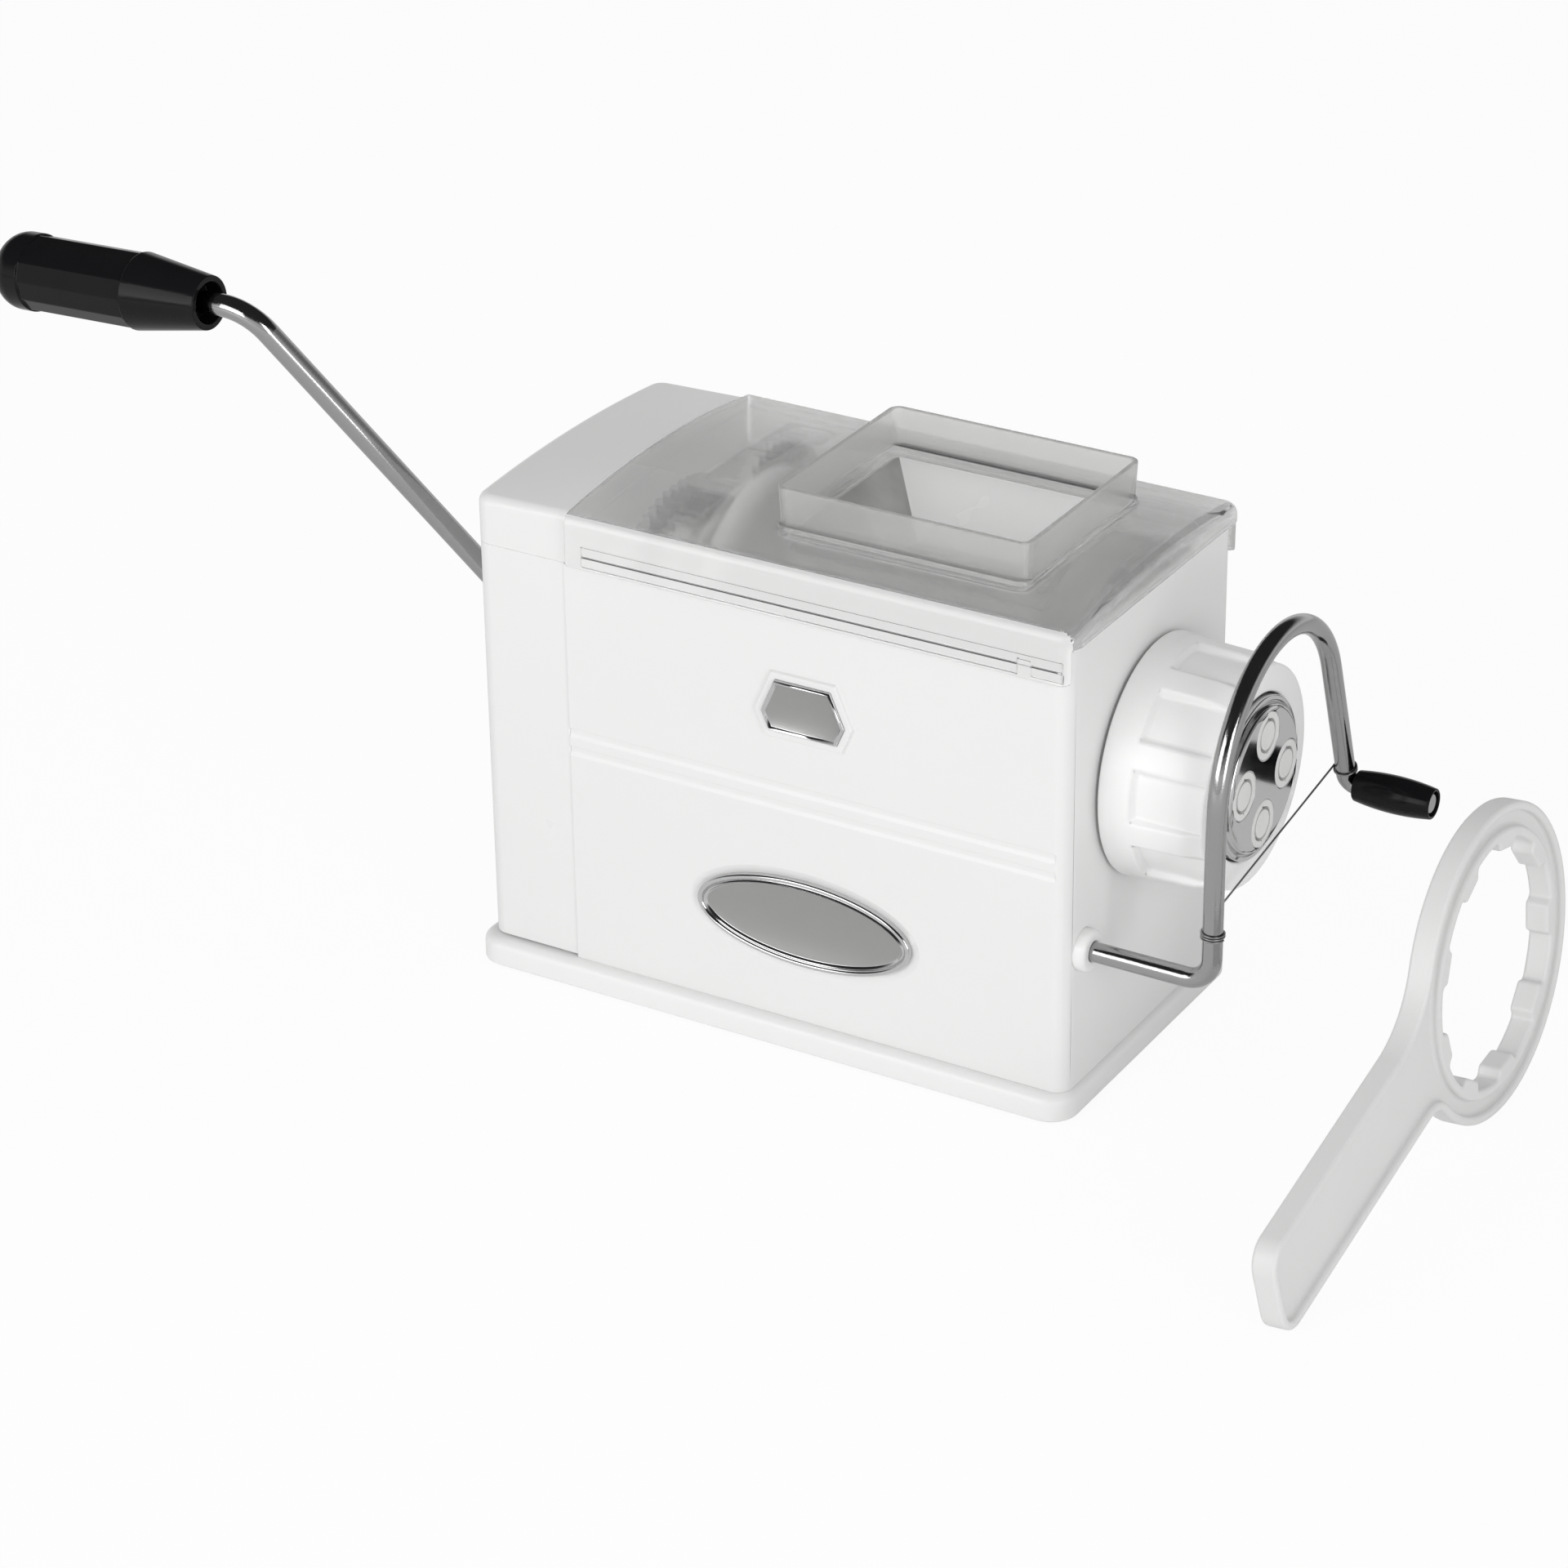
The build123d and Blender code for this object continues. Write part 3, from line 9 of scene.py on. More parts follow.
# %% Load the frame
import json
import math
import bmesh
import bpy
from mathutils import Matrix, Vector


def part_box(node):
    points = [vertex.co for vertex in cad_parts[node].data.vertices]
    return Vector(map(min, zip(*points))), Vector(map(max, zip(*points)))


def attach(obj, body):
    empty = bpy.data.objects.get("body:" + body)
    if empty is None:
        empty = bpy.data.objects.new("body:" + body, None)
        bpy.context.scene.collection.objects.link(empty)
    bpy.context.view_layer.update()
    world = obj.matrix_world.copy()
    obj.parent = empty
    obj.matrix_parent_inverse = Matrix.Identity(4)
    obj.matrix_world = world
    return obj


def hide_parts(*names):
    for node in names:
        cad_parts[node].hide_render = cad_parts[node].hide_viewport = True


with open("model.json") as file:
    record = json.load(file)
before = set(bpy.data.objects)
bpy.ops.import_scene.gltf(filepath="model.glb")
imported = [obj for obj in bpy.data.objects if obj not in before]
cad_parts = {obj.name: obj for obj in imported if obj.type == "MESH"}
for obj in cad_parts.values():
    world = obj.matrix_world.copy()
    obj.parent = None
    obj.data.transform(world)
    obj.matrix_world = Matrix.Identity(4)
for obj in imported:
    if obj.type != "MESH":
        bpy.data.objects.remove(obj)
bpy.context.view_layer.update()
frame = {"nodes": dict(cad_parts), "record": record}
nodes = frame["nodes"]
mm = 0.001

# %% [markdown]
# ## Camera
# The photo was taken from the front right, looking down on the lid, with a
# long lens. A long lens far away keeps the casing's edges nearly parallel.
# Turning the camera by two angles is easier to read than a matrix: first
# its tilt from straight down, then its turn about the upright axis.

# %% Camera
camera_turn = 29.346
camera_rise = 27.063
camera_data = bpy.data.cameras.new("portrait_camera")
camera_data.lens = 109.76
camera_data.sensor_width = 36.0
camera_data.shift_x = -0.0885
camera_data.shift_y = -0.0156
camera_data.clip_end = 20.0
camera = bpy.data.objects.new("portrait_camera", camera_data)
camera.location = (732.5 * mm, -1258.7 * mm, 824.7 * mm)
camera.rotation_euler = (math.radians(90 - camera_rise), 0, math.radians(camera_turn))
bpy.context.scene.collection.objects.link(camera)
bpy.context.scene.camera = camera
bpy.context.scene.view_settings.view_transform = "Standard"
print("camera at", tuple(round(v, 3) for v in camera.location))

# %% [markdown]
# ## Shader maths as plain sums
# A finish is a few sums on sockets, and wiring each sum by hand hides what it
# says. A small class wraps a socket instead, so that `1 - mask * 0.3` adds the
# Math nodes by itself. Every other node comes from one method, which takes the
# node's type, its settings and its sockets.

# %% A socket that can be added and multiplied
class Tone:
    """The output of a node, which can take part in sums."""

    def __init__(self, board, socket):
        self.board, self.socket = board, socket

    def maths(self, operation, first, second):
        return self.board.node("Math", {0: first, 1: second}, operation=operation)

    def __add__(self, other):
        return self.maths("ADD", self, other)

    def __mul__(self, other):
        return self.maths("MULTIPLY", self, other)

    def __rsub__(self, other):
        return self.maths("SUBTRACT", other, self)


# %% A tree of nodes, for a material or for the world
class Board:
    """A tree of nodes that can be added to and wired."""

    def __init__(self, tree):
        self.tree = tree

    def join(self, value, socket):
        """Link a Tone to a socket, or write a plain value on it."""
        if isinstance(value, Tone):
            self.tree.links.new(value.socket, socket)
        else:
            socket.default_value = value

    def node(self, kind, sockets=None, output=0, **settings):
        """Add a node and hand back one of its outputs."""
        made = self.tree.nodes.new("ShaderNode" + kind)
        for name, value in settings.items():
            setattr(made, name, value)
        for name, value in (sockets or {}).items():
            self.join(value, made.inputs[name])
        return Tone(self, made.outputs[output])

    def ray(self, kind):
        """One for rays of this kind and nought for the others."""
        return self.node("LightPath", output=f"Is {kind} Ray")

    def mix(self, share, first, second):
        """Go from the first colour to the second as share goes from 0 to 1."""
        sockets = {0: share, 6: (*first, 1), 7: (*second, 1)}
        return self.node("Mix", sockets, 2, data_type="RGBA")

    def ramp(self, value, stops):
        """A grey that goes with value through two stops of place and shade."""
        made = self.node("ValToRGB", {0: value})
        for (place, shade), stop in zip(stops, made.socket.node.color_ramp.elements):
            stop.position, stop.color = place, (shade, shade, shade, 1)
        return made


# %% [markdown]
# No real finish is quite even. Three small methods give each material what
# moulded or polished things have: `shade` lets the colour cloud over, `dull`
# lets the gloss wander, and `grain` raises fine lumps. All three read the
# piece's own coordinates, so nothing swims when the piece moves.

# %% A material under construction
lamp_share = 0.5  # so much less of a clear piece stands in a lamp's way


class Paint(Board):
    """A material with a plain finish, ready to be varied."""

    def __init__(self, name, color, roughness, metallic=0.0, coat=0.0, ior=1.5):
        self.material = bpy.data.materials.new(name)
        self.material.use_nodes = True
        super().__init__(self.material.node_tree)
        self.shader = self.tree.nodes["Principled BSDF"]
        self.set("Base Color", (*color, 1.0))
        self.set("Roughness", roughness)
        self.set("Metallic", metallic)
        self.set("Coat Weight", coat)
        self.set("IOR", ior)
        self.color, self.roughness = color, roughness

    def set(self, name, value):
        """Put a number, a colour or a Tone on one of the shader's sockets."""
        self.join(value, self.shader.inputs[name])

    def place(self):
        """The piece's own coordinates, in metres."""
        return self.node("TexCoord", output="Object")

    def between(self, axis, start, end):
        """Rise from 0 to 1 along an axis, from start to end in metres."""
        along = self.node("SeparateXYZ", {0: self.place()}, axis)
        return self.node("MapRange", {"Value": along, "From Min": start, "From Max": end})

    def speckle(self, scale, detail=3.0):
        """A cloudy value around a half, with so many lumps to the metre."""
        return self.node(
            "TexNoise", {"Vector": self.place(), "Scale": scale, "Detail": detail}
        )

    def shade(self, scale, dark):
        """Mix the colour between a darker tone and itself in soft clouds."""
        self.set("Base Color", self.mix(self.speckle(scale), dark, self.color))
        return self

    def dull(self, scale, amount):
        """Let the roughness wander about its middle value."""
        wander = self.speckle(scale, 2.0) * amount
        self.set("Roughness", wander + (self.roughness - amount / 2))
        return self

    def grain(self, scale, height):
        """Raise fine lumps, height in metres, so many to the metre."""
        lumps = self.speckle(scale)
        self.set("Normal", self.node("Bump", {"Height": lumps, "Distance": height}))
        return self

    def clear(self, through, alpha):
        """Let light through as glass does, and some of it straight through gaps."""
        self.set("Transmission Weight", through)
        self.set("Alpha", alpha - self.ray("Shadow") * lamp_share)
        return self


print("shader helpers ready")

# %% [markdown]
# ## Pieces and their bodies
# Each piece that is made here stands for one CAD node. It rides on the body
# that the record gives the node, and hides it.
# Nodes whose shape is right as it is only get a better material.

# %% Put a finish on CAD nodes
record = frame["record"]
body_of = {
    name: body for body, names in record["behaviour"]["bodies"].items() for name in names
}


def wear(paint, *names):
    """Give CAD nodes this finish."""
    for name in names:
        mesh = nodes[name].data
        mesh.materials.clear()
        mesh.materials.append(paint.material)


# %% Make a bmesh into a piece
def piece_from(shape, name, node, *paints):
    """A smooth piece that stands for a CAD node and moves as it does."""
    mesh = bpy.data.meshes.new(name)
    shape.to_mesh(mesh)
    shape.free()
    for paint in paints:
        mesh.materials.append(paint.material)
    mesh.shade_smooth()
    piece = bpy.data.objects.new(name, mesh)
    bpy.context.scene.collection.objects.link(piece)
    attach(piece, body_of[node])
    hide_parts(node)
    print(name, "faces", len(mesh.polygons))
    return piece


# %% Round a piece's sharp edges
def soften(piece, width, angle):
    """Bevel every edge sharper than angle in degrees, width in mm."""
    piece.data.set_sharp_from_angle(angle=math.radians(angle))
    bevel = piece.modifiers.new("soft_edges", "BEVEL")
    bevel.use_clamp_overlap = False
    bevel.width = width * mm
    bevel.segments = 3
    bevel.limit_method = "ANGLE"
    bevel.angle_limit = math.radians(angle)
    bevel.miter_outer = "MITER_ARC"
    level = piece.modifiers.new("level_faces", "WEIGHTED_NORMAL")
    level.mode = "FACE_AREA"
    level.weight = 100  # the largest faces alone set the shading
    level.keep_sharp = True


# %% Copy a CAD node and round its edges
weld = 0.002 * mm  # points nearer than this are one
flat = math.radians(0.4)  # faces that turn less than this are one


def rounded(node, width, angle, *paints):
    """A welded copy of a CAD node whose sharp edges are rounded off."""
    shape = bmesh.new()
    shape.from_mesh(nodes[node].data)
    bmesh.ops.remove_doubles(shape, verts=shape.verts, dist=weld)
    bmesh.ops.dissolve_limit(
        shape,
        angle_limit=flat,
        use_dissolve_boundaries=False,
        verts=shape.verts,
        edges=shape.edges,
    )
    piece = piece_from(shape, node + "_rounded", node, *paints)
    soften(piece, width, angle)
    return piece


# %% [markdown]
# ## Finishes
# The casing and the base are glossy moulded plastic: nearly white, with a very
# faint orange peel and slightly wandering gloss. A picture of plastic could be
# wrapped round them, but a few nodes stay sharp at any distance. Every white
# here is a grey with a little less blue, so one number names it.

# %% Casing and base
fine_peel, orange_peel, coarse_peel = 0.01 * mm, 0.02 * mm, 0.03 * mm


def grey(value, less_blue=0.005):
    """A grey that leans to yellow."""
    return value, value, value - less_blue


casing_white = Paint("casing_white", grey(0.86), 0.3, coat=0.12)
casing_white.shade(9.0, grey(0.83)).dull(60.0, 0.1).grain(1150.0, orange_peel)
base_white = Paint("base_white", grey(0.89), 0.34, coat=0.1)
base_white.shade(12.0, grey(0.86)).dull(70.0, 0.1).grain(900.0, orange_peel)
print("casing", casing_white.color, "base", base_white.color)

# %% [markdown]
# The nut and the spanner are duller, with a coarser peel, and the inserts of
# the die are duller still. One white for all of them would be quicker, but
# then the nut would look like part of the casing, and the spanner too bright.

# %% Nut, spanner and the die's inserts
nut_white = Paint("nut_white", grey(0.94), 0.36, coat=0.08)
nut_white.shade(25.0, grey(0.91)).dull(90.0, 0.12).grain(1400.0, coarse_peel)
spanner_white = Paint("spanner_white", grey(0.8), 0.42)
spanner_white.shade(18.0, grey(0.75)).dull(80.0, 0.12).grain(1300.0, coarse_peel)
insert_white = Paint("insert_white", grey(0.8, 0.01), 0.45)
insert_white.shade(120.0, grey(0.72, 0.01)).dull(300.0, 0.12)
print("nut", nut_white.color, "spanner", spanner_white.color)

# %% [markdown]
# What works the dough is hidden, but for the chamber's hood, which shows
# through the lid: white at the crank's end, and grey towards the die, a painted
# shade where the hood lies under the lid's hopper. Two materials would meet in a
# hard line, so one goes from white to grey along X.

# %% Barrel, chamber, screw and rollers
inner_white = Paint("inner_white", grey(0.84, 0.01), 0.38)
inner_white.shade(20.0, grey(0.79, 0.01)).dull(60.0, 0.12)
wear(inner_white, "barrel")
chamber_white = Paint("chamber_white", grey(0.86, 0.01), 0.4).dull(60.0, 0.12)
# painted shade: the hood greys towards the die, where it lies under the hopper, with a
# little random cloud
shade_to_die = chamber_white.between("X", -36.0 * mm, -26.0 * mm)
painted_shade = chamber_white.speckle(60.0, 2.0) * 0.1 + shade_to_die * 0.9
chamber_white.set("Base Color", chamber_white.mix(painted_shade, chamber_white.color, grey(0.2)))
wear(chamber_white, "feed_chamber")
screw_white = Paint("screw_white", grey(0.8, 0.02), 0.4)
screw_white.shade(40.0, grey(0.74, 0.02)).dull(120.0, 0.15)
wear(screw_white, "auger", "front_roller", "back_roller")
print("white plastics", len(bpy.data.materials))

# %% [markdown]
# The lid is frosted clear plastic. Glass alone would throw a black shadow on
# all that lies under it, so part of it is plain see-through, and most of it
# for the rays that look for a lamp. The funnel under its hopper and the skirts
# that hang over the casing are cloudier, and the skirts' finish on the rounded
# edges above them is a painted highlight. The hopper's thick walls are darker,
# partly for their thickness and partly as a painted reflection of the dark.
# The funnel's far slope has a finish of its own too, because in the photo it
# lies in shade and mirrors the dark.

# %% Clear lid, its funnel, its skirts and its hopper's walls
lid_clear = Paint("lid_clear", grey(0.94), 0.13, ior=1.45)
lid_clear.shade(14.0, grey(0.91)).dull(40.0, 0.08)
lid_clear.clear(0.8, 0.72)
funnel_white = Paint("funnel_white", grey(0.88), 0.25, coat=0.1)
funnel_white.shade(30.0, grey(0.84)).dull(60.0, 0.1)
# the skirts' cloudier finish, which on the rounded edges above them is a painted highlight
skirt_milky_and_highlight = Paint("skirt_milky_and_highlight", grey(0.94), 0.2, coat=0.2)
skirt_milky_and_highlight.shade(20.0, grey(0.91)).dull(50.0, 0.08)
skirt_milky_and_highlight.clear(0.18, 0.88)
funnel_shaded = Paint("funnel_shaded", grey(0.5), 0.3, coat=0.1)
funnel_shaded.shade(55.0, grey(0.2)).dull(60.0, 0.1)
# darker, partly for the thick walls and partly as a painted reflection of the dark
wall_thick_and_mirroring_dark = Paint("wall_thick_and_mirroring_dark", grey(0.74, 0.01), 0.16, ior=1.45)
wall_thick_and_mirroring_dark.shade(20.0, grey(0.68, 0.01)).dull(50.0, 0.08)
wall_thick_and_mirroring_dark.clear(0.65, 0.78)

# %% [markdown]
# The die and the bent rods are polished, and the plates are satin in the
# middle. Chrome is mostly what it mirrors, so its own colour stays a plain
# grey, and what the world shows it does the rest. The shafts, the screws and
# the cutting wire are plain steel, duller than the chrome.

# %% Chrome and steel
die_chrome = Paint("die_chrome", grey(0.62, 0), 0.1, metallic=1.0)
die_chrome.dull(90.0, 0.08)
rod_chrome = Paint("rod_chrome", grey(0.4, 0), 0.12, metallic=1.0)
rod_chrome.dull(200.0, 0.1).grain(1500.0, orange_peel)
wear(rod_chrome, "crank_arm", "cutter_frame", "cutter_rivet")
plate_satin = Paint("plate_satin", grey(0.42), 0.3, metallic=1.0)
plate_satin.dull(200.0, 0.1).grain(2500.0, coarse_peel)
steel = Paint("steel", grey(0.35, 0), 0.35, metallic=1.0)
steel.dull(300.0, 0.2)
wear(steel, "drive_shaft", "front_roller_shaft", "back_roller_shaft")
wear(steel, "base_screws", "cutter_wire")
print("metals", die_chrome.color, rod_chrome.color, plate_satin.color)

# %% [markdown]
# The black grips are glossy with a weak mirror. A black colour alone doesn't
# keep them black, because a full mirror lays the pale studio over it. The
# rubber feet are the opposite: matt and lumpy.

# %% Black grips and rubber feet
grip_black = Paint("grip_black", grey(0.006, -0.001), 0.15)
grip_black.set("Specular IOR Level", 0.16)
grip_black.shade(60.0, grey(0.01, -0.001)).dull(150.0, 0.08).grain(1800.0, fine_peel)
rubber_lumps = 0.1 * mm
foot_rubber = Paint("foot_rubber", grey(0.05, 0), 0.8)
foot_rubber.shade(200.0, grey(0.07, 0)).grain(900.0, rubber_lumps)
wear(foot_rubber, "rubber_feet")
print("grips", grip_black.color, "feet", foot_rubber.color)

# %% [markdown]
# The gears behind the crank and the bush it turns in are dark grey. The two
# timing gears are pale below and dark at their tops, which show through the
# lid. A piece of their own for the tops would be more work than telling them
# by their height, so the colour changes along Z.

# %% Gears
gear_grey = Paint("gear_grey", grey(0.2, 0), 0.5)
gear_grey.shade(80.0, grey(0.15, 0)).dull(160.0, 0.15)
wear(gear_grey, "auger_gear", "front_drive_gear", "crank_bush")
# the timing gears are dark at the top and pale below, by height
gear_dark_top = Paint("gear_dark_top", grey(0.7, 0.01), 0.45).dull(160.0, 0.15)
gear_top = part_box("front_timing_gear")[1][2]
to_top = gear_dark_top.between("Z", gear_top - 7.0 * mm, gear_top - 4.0 * mm)
gear_dark_top.set("Base Color", gear_dark_top.mix(to_top, gear_dark_top.color, grey(0.06, 0)))
wear(gear_dark_top, "front_timing_gear", "back_timing_gear")
print("finishes", len(bpy.data.materials))

# %% [markdown]
# ## Rounded edges
# Moulded and cast pieces have no knife edges, and a rounded edge is what
# catches a bright line of light. Each piece here could be drawn again from
# nothing, but the frame has its right shape already, so a welded copy with a
# bevel on its sharp edges keeps every size and only softens the edges.

# %% Rounded pieces
# width of the bevel in mm, and the angle in degrees that counts as an edge
for node, paint, width, angle in (
    ("housing", casing_white, 0.25, 12.0),
    ("gear_cover", casing_white, 0.25, 32.0),
    ("top_cap", casing_white, 0.35, 32.0),
    ("base_tray", base_white, 0.5, 32.0),
    ("pivot_boss", base_white, 0.6, 32.0),
    ("spanner", spanner_white, 1.1, 32.0),
    ("die", die_chrome, 0.4, 32.0),
    ("die_inserts", insert_white, 0.25, 40.0),
    ("crank_grip", grip_black, 0.35, 18.0),
    ("cutter_knob", grip_black, 0.4, 32.0),
):
    rounded(node, width, angle, paint)

# %% [markdown]
# ## Lid
# The lid is one moulding, so it stays one piece, and each of its faces picks a
# finish by where it lies and which way it looks: the funnel below the hopper
# with the painted shade on its far slope, the skirts with a painted highlight
# on the rounded edges above them, the hopper's standing walls with their rim,
# and the clear crown for all the rest.
# A piece for each finish would leave seams that a moulding doesn't have.

# %% Pick a finish for a face of the lid
lid_paints = [lid_clear, funnel_white, skirt_milky_and_highlight, wall_thick_and_mirroring_dark, funnel_shaded]
upright = 0.3  # the normal of a standing face rises less than this
funnel_middle, funnel_half = (38.5 * mm, 0.0), (47.0 * mm, 40.0 * mm)
funnel_top = 177.8 * mm
skirt_inside = 58.5 * mm
# beyond these, the rounded edges above the skirts take the skirts' finish as a painted
# highlight
highlight_side, highlight_low = 58.2 * mm, 175.5 * mm
plinth_top, rim_low = 183.5 * mm, 190.0 * mm


def lid_paint(centre, normal):
    """The finish of a face with this centre and this normal."""
    standing = abs(normal.z) < upright
    side = abs(centre.y)
    past_funnel = max(abs(centre[i] - funnel_middle[i]) - funnel_half[i] for i in (0, 1))
    if past_funnel < 0 and centre.z < funnel_top:
        far_slope = normal.x > upright and centre.x < funnel_middle[0]
        return funnel_shaded if far_slope else funnel_white
    # the skirts, and a painted highlight on the rounded edges above them
    if side > skirt_inside and standing or side > highlight_side and centre.z > highlight_low:
        return skirt_milky_and_highlight
    if centre.z > (plinth_top if standing else rim_low):
        return wall_thick_and_mirroring_dark
    return lid_clear


# %% Lid, with cloudier funnel and skirts, a painted highlight and painted shade
lid = rounded("lid", 0.45, 32.0, *lid_paints)
for face in lid.data.polygons:
    face.material_index = lid_paints.index(lid_paint(face.center, face.normal))
not_clear = sum(face.material_index > 0 for face in lid.data.polygons)
print("cloudy faces", not_clear, "of", len(lid.data.polygons))

# %% [markdown]
# ## Ring nut
# The nut is a ring with a wider rim at the back and a front that narrows, with
# nine shallow pockets round it for a hand or the spanner. Cutting the pockets
# out would do, but a profile spun in 144 steps has its edges just where they
# go, so they are made by pressing some of its points in towards the axis.

# %% Spin the nut's profile
nut_low, nut_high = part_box("ring_nut")
nut_centre = (nut_low[2] + nut_high[2]) / 2
nut_steps = 144
pocket_turn = math.radians(94.0)
pocket_apart = math.radians(40.0)
first_turn = pocket_turn + math.pi / nut_steps
# millimetres from the back face, and from the axis
nut_profile = (
    (0.0, 33.8), (0.0, 41.4), (4.0, 41.4), (5.2, 40.9), (11.0, 40.8), (12.0, 40.8),
    (28.6, 40.2), (36.4, 38.0), (36.4, 28.6), (32.4, 28.6), (32.4, 33.8),
)
shape = bmesh.new()
ring = []
for x, radius in nut_profile:
    across = radius * mm * math.cos(first_turn)
    up = radius * mm * math.sin(first_turn)
    ring.append(shape.verts.new((nut_low[0] + x * mm, across, nut_centre + up)))
edges = [shape.edges.new(pair) for pair in zip(ring, ring[1:] + ring[:1])]
bmesh.ops.spin(
    shape, geom=edges, cent=(0, 0, nut_centre), axis=(1, 0, 0),
    angle=math.tau, steps=nut_steps, use_merge=True,
)
bmesh.ops.recalc_face_normals(shape, faces=shape.faces)
print("nut points", len(shape.verts))

# %% Press the pockets in
pocket_back = nut_low[0] + 11.5 * mm
pocket_half = math.radians(11.5)
pocket_floor = 38.0 * mm
for point in shape.verts:
    across, up = point.co.y, point.co.z - nut_centre
    radius = math.hypot(across, up)
    turn = math.atan2(up, across) - pocket_turn + pocket_apart / 2
    aside = abs(turn % pocket_apart - pocket_apart / 2)
    if radius > pocket_floor and point.co.x > pocket_back and aside < pocket_half:
        point.co.y *= pocket_floor / radius
        point.co.z = nut_centre + up * pocket_floor / radius
soften(piece_from(shape, "grip_nut", "ring_nut", nut_white), 0.7, 24.0)

# %% [markdown]
# ## Bare plates
# The oval plate and the badge are thin pressings with beads round them and a
# satin middle. Each grows from its flat outline: the outline is pulled
# forward, and then inset again and again, a little in and a little up or
# down, so that the insets draw the beads.

# %% A plate with beads round its edge
plate_edge = 1.0 * mm  # the rim starts this far behind the front


def beaded_plate(name, node, outline, steps):
    """Pull the outline forward, then bead it by steps in and up, in mm."""
    low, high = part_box(node)
    shape = bmesh.new()
    points = [shape.verts.new((x, high[1], z)) for x, z in outline(low, high)]
    face = bmesh.ops.contextual_create(shape, geom=points)["faces"][0]
    front = bmesh.ops.extrude_face_region(shape, geom=[face])["geom"]
    pulled = [part for part in front if isinstance(part, bmesh.types.BMVert)]
    shift = (0, low[1] - high[1] + plate_edge, 0)
    bmesh.ops.translate(shape, verts=pulled, vec=shift)
    bmesh.ops.recalc_face_normals(shape, faces=shape.faces)
    field = next(part for part in front if isinstance(part, bmesh.types.BMFace))
    for inward, upward in steps:
        bmesh.ops.inset_region(
            shape,
            faces=[field],
            thickness=inward * mm,
            depth=upward * mm,
            use_even_offset=True,
        )
    field.material_index = 1
    piece = piece_from(shape, name, node, die_chrome, plate_satin)
    piece.data.set_sharp_from_angle(angle=math.radians(40.0))
    return piece


# %% Oval plate
oval_sides = 96


def ellipse(low, high):
    """An ellipse that fills the node's box, as seen from the front."""
    across, up = (low[0] + high[0]) / 2, (low[2] + high[2]) / 2
    half, tall = (high[0] - low[0]) / 2, (high[2] - low[2]) / 2
    turns = [math.tau * step / oval_sides for step in range(oval_sides)]
    return [(across + half * math.cos(turn), up + tall * math.sin(turn)) for turn in turns]


oval_beads = (
    (0.15, 0.5), (0.35, 0.35), (0.5, 0.15), (0.5, -0.15), (0.35, -0.45), (0.2, -0.3),
    (0.3, 0.3), (0.4, 0.3), (0.4, -0.25), (0.3, -0.45), (0.2, -0.1),
)
beaded_plate("oval_nameplate_bare", "oval_plate", ellipse, oval_beads)


# %% Badge
badge_foot, badge_waist, badge_head = 12.8 * mm, 15.8 * mm, 10.5 * mm
badge_waist_up = 6.8 * mm


def badge_outline(low, high):
    """Six corners: widest a third of the way up, narrower at both ends."""
    middle = (low[0] + high[0]) / 2
    waist = low[2] + badge_waist_up
    levels = (low[2], badge_foot), (waist, badge_waist), (high[2], badge_head)
    right = [(middle + half, z) for z, half in levels]
    left = [(middle - half, z) for z, half in reversed(levels)]
    return right + left


badge_beads = ((0.3, 0.6), (0.4, 0.25), (0.4, -0.25), (0.3, -0.5), (0.15, -0.1))
beaded_plate("badge_bare", "front_badge", badge_outline, badge_beads)

# %% [markdown]
# ## Floor and light
# A studio sweep is white to the camera and pale to everything else. The floor
# mixes a plain white glow, which only the camera sees, straight or through the
# lid, with a pale diffuse surface that keeps the object's shadow.

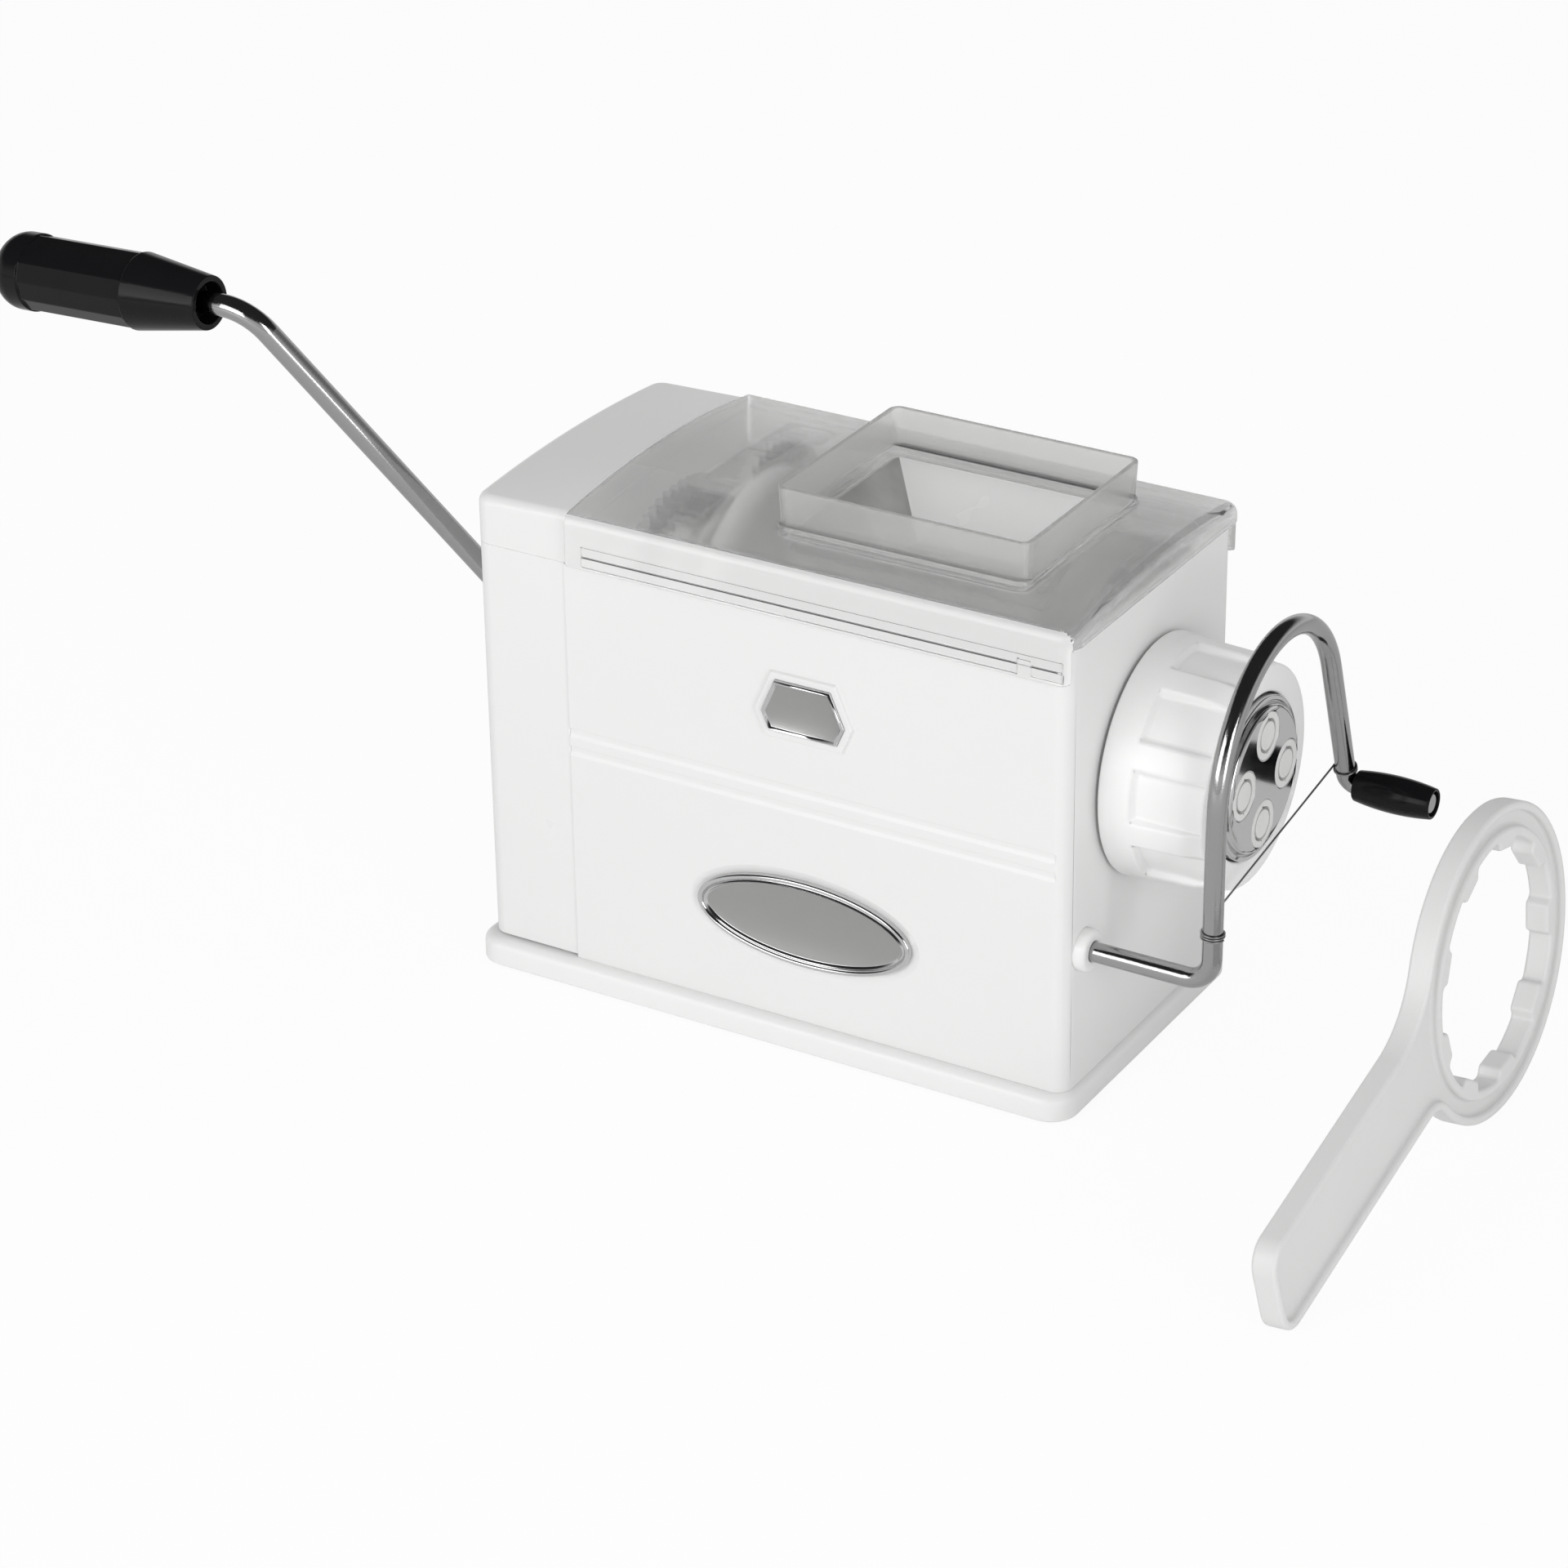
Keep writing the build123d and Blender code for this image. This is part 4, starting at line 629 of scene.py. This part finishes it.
# %% Floor
floor_half, floor_drop = 4.0, 0.2 * mm
glow_share = 0.93
floor_mesh = bpy.data.meshes.new("studio_floor")
shape = bmesh.new()
bmesh.ops.create_grid(shape, x_segments=1, y_segments=1, size=floor_half)
shape.to_mesh(floor_mesh)
shape.free()
floor = bpy.data.objects.new("studio_floor", floor_mesh)
floor.location.z = -floor_drop
bpy.context.scene.collection.objects.link(floor)
floor_paint = Paint("studio_floor", (0.95, 0.95, 0.95), 0.9)
white = (1, 1, 1, 1)
glow = floor_paint.node("Emission", {"Color": white, "Strength": 1.0})
seen = floor_paint.ray("Camera") + floor_paint.ray("Transmission")
surface = Tone(floor_paint, floor_paint.shader.outputs[0])
mixed = floor_paint.node("MixShader", {0: seen * glow_share, 1: surface, 2: glow})
floor_paint.join(mixed, floor_paint.tree.nodes["Material Output"].inputs["Surface"])
floor_mesh.materials.append(floor_paint.material)
print("floor", 2 * floor_half, "m square")

# %% [markdown]
# The world gives a soft even light. Chrome needs something to mirror, so
# mirrored rays see a pale horizon under a dark ceiling, as in a studio with
# its lights low, and the camera and the clear lid see plain white.

# %% World
world = bpy.data.worlds.new("studio_world")
bpy.context.scene.world = world
world.use_nodes = True
sky = Board(world.node_tree)
ambient = sky.node("Background", {"Color": white, "Strength": 0.58})
backdrop = sky.node("Background", {"Color": white, "Strength": 1.0})
rise = sky.node("SeparateXYZ", {0: sky.node("TexCoord", output="Generated")}, "Z")
mirrored = sky.node("Background", {"Color": sky.ramp(rise, ((0.12, 0.8), (0.4, 0.03)))})
through = sky.ray("Transmission")
mirror = sky.ray("Glossy") * (1 - through)
lit = sky.node("MixShader", {0: mirror, 1: ambient, 2: mirrored})
plain = sky.ray("Camera") + through
whole = sky.node("MixShader", {0: plain, 1: lit, 2: backdrop})
sky.join(whole, sky.tree.nodes["World Output"].inputs["Surface"])
print("world nodes", len(world.node_tree.nodes))

# %% [markdown]
# Two softboxes do the rest. The key lamp stands in front on the left and makes
# the casing's front the brightest face, and the other one lights the end with
# the nut and draws the bright lines along the rods.


# %% Lamps
def softbox(name, place, aim, width, height, watts):
    """A rectangular lamp at place that faces aim."""
    data = bpy.data.lights.new(name, "AREA")
    data.shape = "RECTANGLE"
    data.size, data.size_y = width, height
    data.energy = watts
    lamp = bpy.data.objects.new(name, data)
    lamp.location = place
    way = Vector(aim) - Vector(place)
    lamp.rotation_euler = way.to_track_quat("-Z", "Y").to_euler()
    bpy.context.scene.collection.objects.link(lamp)
    return lamp


softbox("key_softbox", (-0.5, -1.7, 0.75), (0, 0, 0.1), 1.3, 1.0, 10.6)
softbox("end_softbox", (1.6, -0.9, 0.55), (0.1, 0, 0.1), 0.6, 1.0, 8.0)
print("lamps", len(bpy.data.lights))
